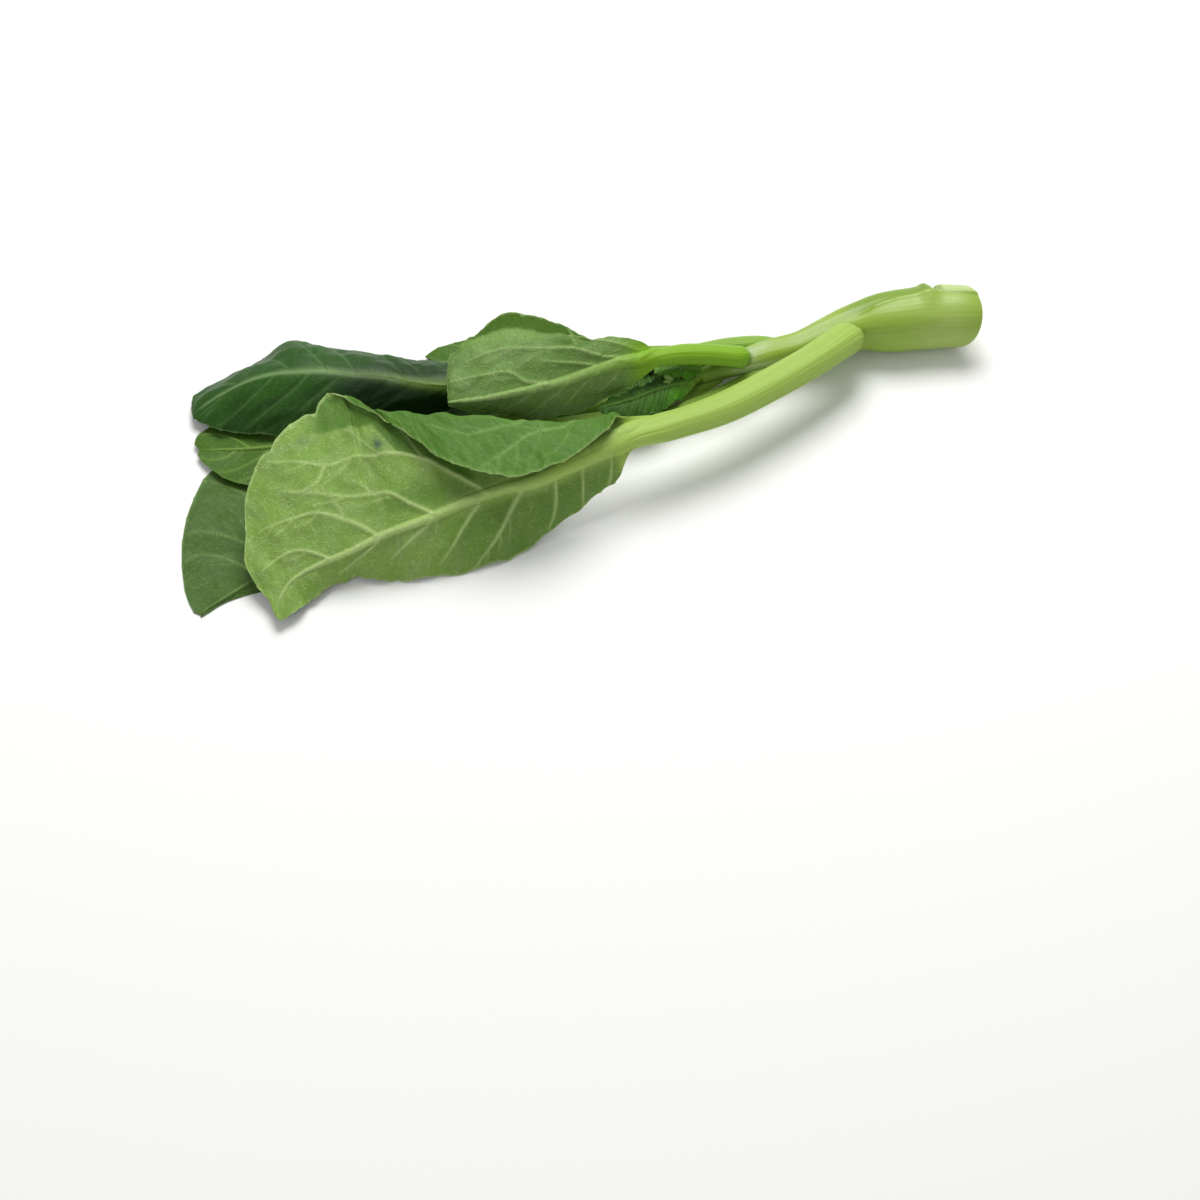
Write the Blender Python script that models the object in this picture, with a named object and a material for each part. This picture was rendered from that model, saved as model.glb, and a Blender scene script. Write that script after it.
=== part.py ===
"""One cut stalk of choy sum lying on its side: stem, six leaves and the young tip.

Blender 4.5, metres, +Z up.  The stalk lies along X with its cut end at +X, and its
footprint is centred on the origin with its lowest points at z = 0.  The tables below are
in millimetres in the frame of the view that the stalk is seen in; place() moves them.
"""
import math

import bmesh
import bpy
import numpy as np

for thing in list(bpy.data.objects):
    bpy.data.objects.remove(thing, do_unlink=True)

# Driving dimensions, in millimetres
STEM_DIAMETER = 22.5        # across the stem behind its cut end
END_SLANT = 9.6             # how much further back the cut end is low on its far side
BLADE_THICKNESS = 0.8       # leaf blade between the veins
SEAT_GAP = 0.3              # between a leaf's base and the stem it sits on
FOOTPRINT_MIDDLE = (-4.3, 58.9)     # moved to the origin
METRES = 0.001

# The stem from its cut end to its tip: centre x, y, z and radius
STEM_RADIUS = STEM_DIAMETER / 2
STEM_LINE = [
    (137.6, 118.0, 10.8, 10.2),
    (136.4, 118.0, 10.8, 10.9),
    (130.0, 118.0, 10.8, STEM_RADIUS),
    (116.0, 117.3, 10.8, STEM_RADIUS),
    (107.0, 116.0, 10.8, 11.0),
    (101.0, 115.2, 10.8, 10.0),
    (95.0, 114.0, 10.8, 8.8),
    (88.0, 111.5, 10.8, 7.9),
    (80.5, 108.3, 10.8, 6.5),
    (72.0, 104.0, 10.8, 5.5),
    (63.5, 101.0, 10.8, 5.1),
    (57.5, 99.0, 10.7, 4.9),
    (52.0, 97.3, 10.4, 4.5),
    (46.5, 95.3, 10.0, 3.9),
    (41.0, 93.2, 9.6, 3.3),
    (35.8, 90.8, 9.2, 2.5),
]

# Leaves.  Each row crosses a leaf once, from its base in the stem to its tip:
# middle of the stalk or rib, (its half width, its half depth), then the blade's near edge,
# the crease its far half bends at, and its far edge.  None: there is no blade, or no crease.
LEAF_1 = [
    ((94.5, 113, 12.5), (5.5, 4.6), None, None, None),
    ((87.5, 101.5, 17.5), (6.3, 5.0), None, None, None),
    ((77, 91.5, 19), (6.4, 5.0), None, None, None),
    ((60, 78.5, 20), (6.4, 4.9), None, None, None),
    ((42, 66.5, 21), (6.2, 4.8), None, None, None),
    ((24.5, 58.5, 22), (5.8, 4.5), None, None, None),
    ((10.5, 53, 22.5), (5.3, 4.2), (10.5, 47.5, 21.5), (9, 58, 24.5), (9, 59, 26.5)),
    ((5.5, 51, 22.5), (5.0, 4.1), (8.5, 45, 18), (5, 59, 26.5), (5.5, 55.5, 30.5)),
    ((0.5, 48.5, 22.5), (4.6, 3.9), (6.5, 42.5, 14), (1, 56.8, 28.5), (2, 49, 31.5)),
    ((-10.5, 42, 22), (3.6, 3.2), (-4, 35.5, 9), (-12, 53.5, 30), (-9.5, 38, 32)),
    ((-23, 35, 21), (2.6, 2.6), (-15.5, 28, 4), (-27.5, 53.5, 31), (-23.5, 30, 32)),
    ((-34.5, 32, 20), (2.2, 2.3), (-27, 19.5, 1.5), (-42, 54.7, 32), (-37, 30, 32)),
    ((-45.5, 27.5, 19.5), (2.0, 2.1), (-39.5, 13.5, 1), (-56, 55.2, 32), (-50.5, 34, 33)),
    ((-56.5, 22.5, 18), (1.8, 1.9), (-52.5, 10, 1), (-70, 55.6, 32), (-63, 43.5, 33)),
    ((-66.5, 18.5, 17), (1.6, 1.7), (-64.5, 8, 1), (-81, 58, 31.5), (-75, 53, 34)),
    ((-71.5, 17, 16), (1.5, 1.6), (-70.5, 7.5, 1.2), (-87, 63.4, 30), (-84.5, 63, 33)),
    ((-76.5, 15, 15), (1.4, 1.5), (-76.5, 7.5, 1.6), (-90.5, 65, 28.7), (-92, 66.5, 29.3)),
    ((-84.5, 11.5, 13), (1.2, 1.3), (-84, 8, 2.0), (-99, 57.5, 26.5), (-101, 61, 27)),
    ((-92, 9, 11), (1.1, 1.1), (-90, 5.5, 2.4), (-110, 46, 23.5), (-112.5, 50.5, 24)),
    ((-97.5, 7, 9.5), (1.0, 1.0), (-94, 2, 2.8), (-115.5, 38, 19.5), (-118.5, 42.5, 20)),
    ((-101.5, 5, 8.5), (0.9, 0.9), (-97.5, -1, 3), (-119, 27, 15), (-122, 31, 15.5)),
    ((-105, 2.5, 7.5), (0.8, 0.8), (-100.5, -4, 3.5), (-119, 17, 10.8), (-121.5, 19.5, 11)),
    ((-107, 0, 6.5), (0.7, 0.7), (-102.5, -7, 4), (-118.5, 7.5, 8.3), (-121, 8.5, 8.5)),
    ((-108.5, -3.5, 6), (0.6, 0.6), (-105, -9, 4), (-115, 0.3, 6.4), (-116.5, 1, 6.5)),
    ((-109.5, -7.5, 5), (0.5, 0.5), (-107, -10.5, 4), (-112, -4.7, 5.4), (-112.5, -4, 5.5)),
    ((-109.5, -10.5, 4.5), (0.5, 0.5), (-108.5, -11.5, 4.5), (-110.2, -9.4, 4.9), (-110.5, -9, 5)),
]
LEAF_2 = [
    ((58, 98.8, 12), (3.4, 3.1), None, None, None),
    ((51, 94.6, 16), (4.0, 3.6), None, None, None),
    ((41, 93.5, 18.5), (4.1, 3.7), None, None, None),
    ((30, 92, 20.5), (4.0, 3.6), None, None, None),
    ((20.5, 89, 22.5), (3.7, 3.3), None, None, None),
    ((12, 86.5, 24), (3.0, 2.9), (15, 83, 19), (14, 90, 26.5), (15, 92, 27)),
    ((4, 84, 24.5), (2.4, 2.5), (6, 79.5, 14), (3, 89.5, 31), (4, 91.3, 31.3)),
    ((-4.5, 80, 25), (2.0, 2.2), (-3, 77.5, 10), (-6.5, 88, 33), (-5.5, 89.8, 33)),
    ((-13, 76, 25), (1.8, 2.0), (-11.5, 74.5, 8), (-15.5, 88.5, 34), (-14.5, 96, 32)),
    ((-20.5, 73.5, 25), (1.6, 1.8), (-21, 73, 8), (-24.5, 87.5, 35), (-24, 101.5, 31)),
    ((-28, 71.5, 25), (1.4, 1.6), (-29.5, 73, 10), (-32, 87.5, 35), (-33.5, 101.5, 31)),
    ((-35, 70, 24.5), (1.2, 1.4), (-37.5, 72, 12), (-38.5, 87.5, 34), (-40.5, 96.5, 31)),
    ((-41, 69, 24), (1.0, 1.2), (-44, 70, 15), (-44, 86, 33), (-45, 91, 32)),
    ((-46, 68.5, 23.5), (0.9, 1.0), (-48, 69, 18), (-47.5, 82.5, 30.5), (-49, 86.5, 32)),
    ((-49.5, 68.5, 23), (0.8, 0.9), (-51, 68.5, 20), (-51, 78.5, 28), (-52.5, 83, 30.5)),
    ((-52, 68.5, 22.5), (0.7, 0.7), (-52.5, 68, 21), (-52.5, 75, 26), (-53.5, 77.5, 27.5)),
    ((-53, 69, 22), (0.5, 0.5), (-53, 68.3, 21.5), (-53.2, 71.5, 23.4), (-53.5, 72.5, 24)),
]
LEAF_3 = [
    ((67, 102, 10.6), (3.6, 3.2), None, None, None),
    ((60, 104, 10.8), (3.8, 3.3), None, None, None),
    ((48, 103.5, 11.0), (3.8, 3.3), None, None, None),
    ((32.5, 99.7, 11.2), (3.7, 3.3), None, None, None),
    ((14.5, 95.7, 12.0), (3.6, 3.2), None, None, None),
    ((-5.5, 91.5, 13.6), (3.4, 3.1), None, None, None),
    ((-25, 86.5, 16.0), (3.1, 2.9), None, None, None),
    ((-39.5, 82, 18), (2.7, 2.6), (-39.5, 78, 14), (-41, 89.5, 17), (-41.5, 92.5, 15)),
    ((-54.5, 79, 19.5), (2.3, 2.3), (-57, 75.5, 8), (-55, 92.5, 16), (-55, 96.5, 11)),
    ((-65, 79.5, 20.5), (2.0, 2.1), (-70, 71, 6.5), (-66.5, 93.5, 15.5), (-68, 99.5, 7)),
    ((-76, 82, 21), (1.8, 1.9), (-83, 66.5, 5.5), (-78, 96, 15.5), (-80, 105, 2.5)),
    ((-86.5, 82.5, 21.5), (1.6, 1.8), (-94.5, 65, 5), (-89.5, 98, 15.5), (-92.5, 108.5, 0.4)),
    ((-97, 84, 21.5), (1.5, 1.6), (-105.5, 66, 5), (-101, 100.5, 15), (-105, 110.5, 0.4)),
    ((-107, 84.5, 20.5), (1.4, 1.5), (-115.5, 67.5, 5), (-111.5, 103, 14.5), (-116.5, 111.5, 0.4)),
    ((-116, 85, 18.5), (1.2, 1.3), (-123.5, 68.5, 5), (-121, 94.5, 12.6), (-125, 104.5, 0.4)),
    ((-124.5, 84.5, 15.5), (1.1, 1.1), (-130, 69.5, 5), (-128.5, 92, 11), (-132.5, 98.5, 0.4)),
    ((-131, 83.5, 12), (0.9, 0.9), (-135.5, 70.5, 4.5), (-135, 89.5, 8), (-138.5, 95, 0.6)),
    ((-136.5, 82, 9), (0.8, 0.8), (-139.5, 72.5, 4.5), (-140.5, 88, 5.5), (-143, 92, 1.2)),
    ((-140.5, 80.5, 6.5), (0.7, 0.7), (-142.5, 74.5, 4), (-143.7, 86, 3.6), (-146, 89.0, 1.8)),
    ((-143.5, 78.5, 5), (0.5, 0.5), (-144, 76, 4), (-145.3, 82.5, 3.4), (-146.3, 84.5, 2.6)),
    ((-145, 77, 4), (0.5, 0.5), (-145, 76, 3.7), (-145.8, 79.5, 3.3), (-146.2, 80.5, 3.1)),
]
LEAF_4 = [
    ((45, 94.5, 9), (2.5, 2.4), None, None, None),
    ((39, 91.8, 5.4), (2.9, 2.6), None, None, None),
    ((32.5, 89.8, 3.4), (3.1, 2.7), None, None, None),
    ((22, 87.6, 3.0), (3.2, 2.7), None, None, None),
    ((0, 84, 2.9), (3.0, 2.6), None, None, None),
    ((-25, 79, 2.8), (2.7, 2.4), None, None, None),
    ((-46.5, 74, 2.7), (2.4, 2.2), None, None, None),
    ((-62, 71, 2.7), (2.1, 2.0), (-62, 66.5, 2.8), None, (-62.5, 76.5, 2.4)),
    ((-76.5, 68.5, 2.7), (1.9, 1.8), (-78.5, 57.5, 2.9), None, (-78, 84, 1.8)),
    ((-89.5, 66.5, 2.7), (1.7, 1.6), (-93, 50, 2.9), None, (-93, 88.5, 1.4)),
    ((-101.5, 65, 2.7), (1.5, 1.4), (-105.5, 46, 2.9), None, (-106, 89, 1.2)),
    ((-112, 64.5, 2.7), (1.3, 1.2), (-116, 45.5, 2.9), None, (-118, 85.5, 1.2)),
    ((-121, 63.5, 2.7), (1.1, 1.0), (-124.5, 47.5, 2.9), None, (-127.5, 81, 1.3)),
    ((-128.5, 63, 2.6), (0.9, 0.8), (-131.5, 50, 2.8), None, (-135, 77, 1.4)),
    ((-134.5, 63, 2.5), (0.7, 0.7), (-136.5, 54, 2.6), None, (-140.5, 73, 1.6)),
    ((-139, 63, 2.3), (0.6, 0.6), (-140.5, 58, 2.4), None, (-143.5, 69.5, 1.8)),
    ((-142, 63.5, 2.2), (0.5, 0.5), (-142.5, 61, 2.2), None, (-144, 66, 2.0)),
]
LEAF_5 = [
    ((56, 98.5, 7.6), (2.8, 2.6), None, None, None),
    ((51, 101, 4.5), (3.0, 2.6), None, None, None),
    ((43.5, 104.5, 3.4), (3.1, 2.7), None, None, None),
    ((33, 106.5, 3.2), (3.1, 2.7), None, None, None),
    ((18, 107, 3.1), (3.0, 2.6), None, None, None),
    ((2, 106.5, 3.0), (2.6, 2.3), (2, 101, 2.6), None, (2, 112.5, 2.4)),
    ((-11, 106, 2.8), (2.2, 2.0), (-12, 94, 1.4), None, (-12, 118, 1.0)),
    ((-22.5, 105.5, 2.6), (1.8, 1.7), (-24.5, 91, 0.6), None, (-24.5, 120, 0.4)),
    ((-33.5, 105, 2.6), (1.5, 1.4), (-35.5, 89.5, 0.4), None, (-36.5, 119.5, 0.4)),
    ((-42.5, 104.5, 2.6), (1.2, 1.1), (-44.5, 91.5, 0.5), None, (-46, 116.5, 0.5)),
    ((-49.5, 104, 2.5), (0.9, 0.9), (-52, 95, 0.7), None, (-53.5, 113, 0.6)),
    ((-55.5, 103.5, 2.3), (0.7, 0.7), (-57.5, 98.5, 0.9), None, (-59, 109.5, 0.9)),
    ((-60, 104, 2.0), (0.5, 0.5), (-61.5, 101.5, 1.3), None, (-62, 107, 1.3)),
]
LEAF_6 = [
    ((64, 100, 9.5), (3.0, 2.7), None, None, None),
    ((57.5, 93.5, 8), (3.4, 2.9), None, None, None),
    ((48, 87.2, 6.9), (3.4, 2.9), None, None, None),
    ((37.5, 81.7, 6.2), (3.4, 2.9), None, None, None),
    ((24, 76, 5.4), (3.4, 2.9), None, None, None),
    ((10, 70.5, 4.7), (3.3, 2.8), None, None, None),
    ((-5.5, 64, 4), (3.0, 2.6), None, None, None),
    ((-21, 56.5, 3.4), (2.7, 2.4), (-20.5, 50, 2.8), None, (-22, 64, 2.8)),
    ((-37, 48.5, 3), (2.4, 2.1), (-37.5, 37, 1.6), None, (-40, 69.5, 1.2)),
    ((-52.5, 40.5, 2.7), (2.1, 1.8), (-55.5, 26.5, 0.7), (-56, 52, 1.2), (-60.5, 68, 0.5)),
    ((-68, 33, 2.5), (1.8, 1.6), (-72, 18.5, 0.5), (-73.5, 46, 0.5), (-81.5, 63.5, 0.4)),
    ((-82.5, 26, 2.3), (1.5, 1.4), (-86, 12.5, 0.4), (-91, 40, 0.4), (-102.5, 59, 0.4)),
    ((-96, 19.5, 2.1), (1.3, 1.2), (-98, 7, 0.4), (-107, 36, 0.4), (-122, 59, 0.4)),
    ((-107.5, 14, 1.9), (1.1, 1.0), (-108.5, 4.5, 0.4), (-120, 31.5, 0.4), (-137, 55.5, 0.4)),
    ((-117, 8, 1.6), (0.9, 0.8), (-117, 3, 0.4), (-128, 22, 0.4), (-143, 41.5, 0.4)),
    ((-124, 3, 1.3), (0.8, 0.7), (-124.5, 0.5, 0.4), (-133, 12.5, 0.4), (-145, 25, 0.4)),
    ((-129.5, -1, 1.0), (0.6, 0.6), (-130, -2.5, 0.4), (-135.5, 3.3, 0.4), (-143.5, 9, 0.4)),
    ((-133.5, -4, 0.8), (0.5, 0.5), (-133.5, -5.5, 0.4), (-136.7, -2.5, 0.4), (-141, -0.5, 0.4)),
    ((-136, -6.5, 0.7), (0.5, 0.5), (-136, -7.5, 0.4), None, (-138.5, -5.5, 0.4)),
]

# The small leaves at the tip, crossed in the same way
YOUNG_LEAVES = [
    [
        ((34, 88.5, 9.6), (1.3, 1.2), None, None, None),
        ((27, 84.5, 13), (1.2, 1.1), (28.4, 80.4, 11.5), None, (27.7, 87.5, 13.5)),
        ((19.5, 80, 15), (1.0, 1.0), (19.8, 72.8, 12.5), None, (20, 84.5, 15)),
        ((11.3, 75.5, 15.5), (0.8, 0.8), (11.3, 70.3, 13), None, (12, 79.5, 15.5)),
        ((4.2, 73.5, 15), (0.6, 0.7), (4.2, 69.7, 13.5), None, (4.5, 76.5, 14.5)),
        ((-0.7, 73, 14), (0.5, 0.5), (-0.4, 71.8, 14), None, (-0.7, 74, 14)),
    ],
    [
        ((35.5, 91, 9.8), (1.2, 1.1), None, None, None),
        ((31.5, 90.5, 13), (1.1, 1.0), (31, 88.3, 12.8), None, (31.5, 92.7, 12.5)),
        ((26.5, 90, 14.6), (0.9, 0.9), (26, 86.8, 14.3), None, (26.5, 93.5, 13.5)),
        ((21, 89.5, 14.8), (0.7, 0.7), (20.5, 87, 14.5), None, (21, 92.5, 13.8)),
        ((16.5, 89, 14.2), (0.5, 0.5), (16.4, 88, 14.2), None, (16.5, 90, 14)),
    ],
    [
        ((33, 88.5, 8.8), (1.2, 1.1), None, None, None),
        ((26, 87.8, 9), (1.1, 1.0), (26, 85, 8.6), None, (26, 91, 8.6)),
        ((18, 86.5, 9.2), (0.9, 0.9), (18, 82, 8.6), None, (18, 91.5, 8.6)),
        ((10, 84.7, 9.4), (0.7, 0.7), (10, 81, 8.8), None, (10, 88.5, 8.8)),
        ((4.5, 83.5, 9.5), (0.5, 0.5), (4.4, 82.4, 9.4), None, (4.5, 84.5, 9.4)),
    ],
]
TIP_LINE = [
    (37, 92, 9.6, 2.2),
    (32.2, 88.9, 9.6, 2.0),
    (27.9, 87, 10.5, 1.7),
    (23, 85, 11.5, 1.2),
]
BUD_COUNT = 9
BUD_HALF_LENGTH, BUD_RADIUS = 2.6, 1.5

# Colours in linear light: stem and stalks pale green, blades by the side that shows
STEM_GREEN = (0.38, 0.52, 0.15)
PALE_LEAF = (0.18, 0.31, 0.09)
TOP_LEAF = (0.13, 0.27, 0.05)
DARK_LEAF = (0.03, 0.09, 0.03)
GREY_LEAF = (0.12, 0.24, 0.08)
YOUNG_LEAF = (0.12, 0.28, 0.05)


def place(points):
    """Millimetres of the tables to metres about the middle of the footprint."""
    return (np.asarray(points, float) - (*FOOTPRINT_MIDDLE, 0.0)) * METRES


def unit(vectors):
    length = np.linalg.norm(vectors, axis=-1, keepdims=True)
    return vectors / np.maximum(length, 1e-9)


def eased(value):
    value = np.clip(value, 0.0, 1.0)
    return value * value * (3 - 2 * value)


def through(knots, values, at):
    """Smooth curve through the values at the knots: a cubic between each two of them."""
    values = np.asarray(values, float)
    slopes = np.gradient(values, knots, axis=0)
    k = np.clip(np.searchsorted(knots, at, side="right") - 1, 0, len(knots) - 2)
    span = knots[k + 1] - knots[k]
    f = (at - knots[k]) / span
    if values.ndim > 1:
        span, f = span[:, None], f[:, None]
    return ((1 + 2 * f) * (1 - f) ** 2 * values[k] + f * (1 - f) ** 2 * span * slopes[k]
            + f * f * (3 - 2 * f) * values[k + 1] + f * f * (f - 1) * span * slopes[k + 1])


def knots_of(*lines):
    """A knot at each row: the mean way along the lines so far."""
    chords = sum(np.linalg.norm(np.diff(line, axis=0), axis=1) for line in lines) / len(lines)
    return np.concatenate([[0], np.cumsum(chords)])


def bowed(start, end, lift, count=24):
    """Points of a shallow bow from start to end whose middle stands off by the lift."""
    f = np.linspace(0.0, 1.0, count)[:, None]
    return start + (end - start) * f + lift * 4 * f * (1 - f)


def lengths_of(path):
    return np.concatenate([[0], np.cumsum(np.linalg.norm(np.diff(path, axis=0), axis=1))])


def folded(start, fold, end, lift, radius):
    """Bowed path from start to end by way of a fold: an arc that a sharp fold's line touches."""
    before, after = unit(fold - start - 4 * lift), unit(end - fold)
    half_turn = math.acos(float(np.clip(before @ after, -1, 1))) / 2
    if half_turn < 0.025:
        return np.concatenate([bowed(start, fold, lift), bowed(fold, end, 0)[1:]])
    sharp = float(eased((math.degrees(2 * half_turn) - 60) / 60))
    leg = 0.8 * min(np.linalg.norm(fold - start), np.linalg.norm(end - fold))
    radius = min(radius, leg / (math.tan(half_turn) * (1 - sharp) + 2 * sharp))
    out, over = unit(before - after), unit(before + after)
    middle = fold - out * radius * (1 + (1 / math.cos(half_turn) - 1) * (1 - sharp))
    angles = np.linspace(-half_turn, half_turn, 17)[:, None]
    arc = middle + radius * (out * np.cos(angles) + over * np.sin(angles))
    return np.concatenate([bowed(start, arc[0], lift), arc[1:-1], bowed(arc[-1], end, 0)])


def way_along(path, start, shares, bend_weight):
    """Lengths along the path at shares of its way past the start, closer where it bends."""
    lengths, along = lengths_of(path), unit(np.diff(path, axis=0))
    bends = np.arccos(np.clip((along[1:] * along[:-1]).sum(1), -1, 1))
    turned = np.concatenate([[0], np.cumsum(bends), [bends.sum()]]) / math.pi
    way = lengths / lengths[-1] + bend_weight * turned
    first = np.interp(start, lengths, way)
    return np.interp(first + shares * (way[-1] - first), way, lengths)


def crossing(path, half_width, points, bend_weight):
    """Points from the rib's middle to the blade's edge, and how far out each one is."""
    lengths = lengths_of(path)
    half_width = min(half_width, lengths[-1])
    is_blade = eased((lengths[-1] - half_width) / 10.0)
    on_stalk = np.sin(np.linspace(0, math.radians(88), points + 1)) * lengths[-1]
    beyond = way_along(path, min(1.2 * half_width, 0.9 * lengths[-1]),
                       np.linspace(0, 1, points - 2), bend_weight)
    on_blade = np.concatenate([np.array([0, 0.5, 0.9]) * half_width, beyond])
    out = on_stalk + (on_blade - on_stalk) * is_blade
    return np.stack([np.interp(out, lengths, path[:, k]) for k in range(3)], 1), out, is_blade


def leaf_surface(rows, stations, near_points, far_points, crease_radius=2.0,
                 near_bow=0.10, far_bow=0.06, wave=0.6, wave_length=23.0):
    """Grid of the leaf's middle surface, its normals, and its half thickness above and below."""
    middles = np.array([row[0] for row in rows], float)
    widths = np.array([row[1][0] for row in rows])[:, None]
    side = unit(np.cross((0, 0, 1), np.gradient(middles, axis=0))) * widths
    near = np.array([row[2] or middles[k] + side[k] for k, row in enumerate(rows)], float)
    far = np.array([row[4] or middles[k] - side[k] for k, row in enumerate(rows)], float)
    crease = np.array([row[3] or (middles[k] + far[k]) / 2 for k, row in enumerate(rows)], float)
    is_creased = any(row[3] for row in rows)
    knots = knots_of(middles, near, far)
    at = np.linspace(0, knots[-1], stations)
    size = np.maximum(through(knots, [row[1] for row in rows], at), 0.4)
    middles, near, crease, far = (through(knots, line, at) for line in (middles, near, crease, far))
    ahead = unit(np.gradient(middles, at, axis=0))
    bare = np.interp(at, knots, [row[2] is None for row in rows])[:, None, None]

    surface, across, blade = [], [], []
    for k in range(stations):
        half_width = size[k, 0]
        bow = np.cross(ahead[k], near[k] - middles[k]) * near_bow
        near_path = bowed(middles[k], near[k], bow)
        bend = crease[k] if is_creased else far[k]
        bow = np.cross(bend - middles[k], ahead[k]) * far_bow
        far_path = (folded(middles[k], bend, far[k], bow, crease_radius) if is_creased
                    else bowed(middles[k], bend, bow))
        near_half, near_out, near_blade = crossing(near_path, half_width, near_points, 0.5)
        far_half, far_out, far_blade = crossing(far_path, half_width, far_points, 1.6)
        turn = 2 * math.pi * at[k] / wave_length
        near_half[:, 2] += wave * near_blade * math.sin(turn) * (near_out / near_out[-1]) ** 3
        far_half[:, 2] += wave * far_blade * math.sin(turn + 1.7) * (far_out / far_out[-1]) ** 3
        surface.append(np.concatenate([near_half[::-1], far_half[1:]]))
        across.append(np.concatenate([near_out[::-1], far_out[1:]]))
        blade.append([near_blade] * len(near_out) + [far_blade] * (len(far_out) - 1))
    surface, across, blade = np.array(surface), np.array(across), np.array(blade)
    surface[..., 2] = np.maximum(surface[..., 2], BLADE_THICKNESS / 2)
    bare_up = unit(np.cross(ahead, np.cross((0, 0, 1), ahead)))[:, None]
    normal = unit(np.cross(np.gradient(surface, axis=1), np.gradient(surface, axis=0)))
    normal = unit(normal * (1 - bare) + bare_up * bare)
    rib = np.sqrt(np.clip(1 - (across / size[:, :1]) ** 2, 0, 1)) * size[:, 1:]
    sheet = 0.25 + (BLADE_THICKNESS / 2 - 0.25) * blade
    above, below = (rib ** 4 + sheet ** 4) ** 0.25, (((1 - blade) * rib) ** 4 + sheet ** 4) ** 0.25
    return surface, normal, above, below


def closed_sheet(upper, lower):
    """Vertices and triangles of the solid between two grids, cut alike on both faces."""
    rows, columns = upper.shape[:2]
    count = rows * columns
    index = np.arange(count).reshape(rows, columns)
    a, b, c, d = index[:-1, :-1], index[1:, :-1], index[1:, 1:], index[:-1, 1:]
    top = np.concatenate([np.stack(corners, -1).reshape(-1, 3) for corners in ((a, d, c), (a, c, b))])
    ring = np.concatenate([index[0, :], index[1:, -1], index[-1, -2::-1], index[-2:0:-1, 0]])
    after = np.roll(ring, -1)
    wall = np.concatenate([np.stack([ring, ring + count, after], -1),
                           np.stack([after, ring + count, after + count], -1)])
    vertices = np.concatenate([upper.reshape(-1, 3), lower.reshape(-1, 3)])
    return vertices, np.concatenate([top, top[:, ::-1] + count, wall])


def leaf_solid(rows, rib_up=True, stations=28, near_points=6, far_points=6, **shape):
    """Vertices and triangles of a leaf: its stalk and rib, and the blade on either side."""
    surface, normal, above, below = leaf_surface(rows, stations, near_points, far_points, **shape)
    if not rib_up:
        above, below = below, above
    upper = surface + normal * above[..., None]
    lower = surface - normal * below[..., None]
    lower[..., 2] = np.maximum(lower[..., 2], 0.0)
    return closed_sheet(upper, lower)


def round_solid(line, rings, sides, grow=0.0, shape=None, slant=0.0):
    """Vertices and triangles of a rod along the line of centres and radii, closed at its ends."""
    line = np.array(line, float)
    knots = knots_of(line[:, :3])
    at = np.unique(np.concatenate([knots[:3], np.linspace(knots[2], knots[-1], rings)]))
    along = through(knots, line, at)
    ahead = unit(np.gradient(along[:, :3], at, axis=0))
    side = unit(np.cross((0, 0, 1), ahead))
    up = np.cross(ahead, side)
    angle = (np.arange(sides) + 0.5) * 2 * math.pi / sides
    radius = np.repeat(along[:, 3:4], sides, 1)
    if shape:
        radius = radius + shape(along[:, :1], angle[None, :])
    ring = side[:, None] * np.sin(angle)[None, :, None] - up[:, None] * np.cos(angle)[None, :, None]
    points = along[:, None, :3] + ring * (radius + grow)[..., None]
    points[[0, -1]] -= ahead[[0, -1], None] * np.array([grow, -grow])[:, None, None]
    depth = (points - along[:, None, :3]) @ (0, 0.57, -0.82) / along[:, 3:4]
    points += ahead[:, None] * (slant * (1 + depth) / 2 * eased(1 - at / 34)[:, None])[..., None]
    points[..., 2] = np.maximum(points[..., 2], -grow)
    ends = along[[0, -1], :3] - ahead[[0, -1]] * np.array([[grow - slant / 2], [-grow]])
    index = np.arange(len(at) * sides).reshape(len(at), sides)
    a, b = index[:-1], index[1:]
    c, d = np.roll(b, -1, 1), np.roll(a, -1, 1)
    first, last = index.size, index.size + 1
    faces = [(a, c, b), (a, d, c), (index[:1] * 0 + first, np.roll(index[:1], -1, 1), index[:1]),
             (index[-1:] * 0 + last, index[-1:], np.roll(index[-1:], -1, 1))]
    faces = np.concatenate([np.stack(corners, -1).reshape(-1, 3) for corners in faces])
    return np.concatenate([points.reshape(-1, 3), ends]), faces


def stem_relief(x, angle):
    """What stands off the round stem: a swelling at each leaf's base, the ridges that run
    down from them, and the torn base of an old leaf near the cut end."""
    relief = 0.5 * np.exp(-((x - 100) / 6) ** 2) + 0.5 * np.exp(-((x - 60) / 7) ** 2)
    taper = eased((130 - x) / 12) * eased((x - 40) / 30)
    relief = relief + 0.25 * np.cos(5 * angle + 0.6) * taper
    scar = np.exp(-((x - 119) / 3.5) ** 2) * np.exp(-((angle - math.radians(195)) / 0.45) ** 2)
    return relief + 1.6 * scar


def mesh_object(name, solid, colour, roughness):
    vertices, faces = solid
    mesh = bpy.data.meshes.new(name)
    mesh.from_pydata(place(vertices).tolist(), [], faces.tolist())
    mesh.validate()
    thing = bpy.data.objects.new(name, mesh)
    bpy.context.scene.collection.objects.link(thing)
    material = bpy.data.materials.new(name)
    material.use_nodes = True
    shader = material.node_tree.nodes["Principled BSDF"]
    shader.inputs["Base Color"].default_value = (*colour, 1.0)
    shader.inputs["Roughness"].default_value = roughness
    shader.inputs["Metallic"].default_value = 0.0
    mesh.materials.append(material)
    return thing


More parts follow.
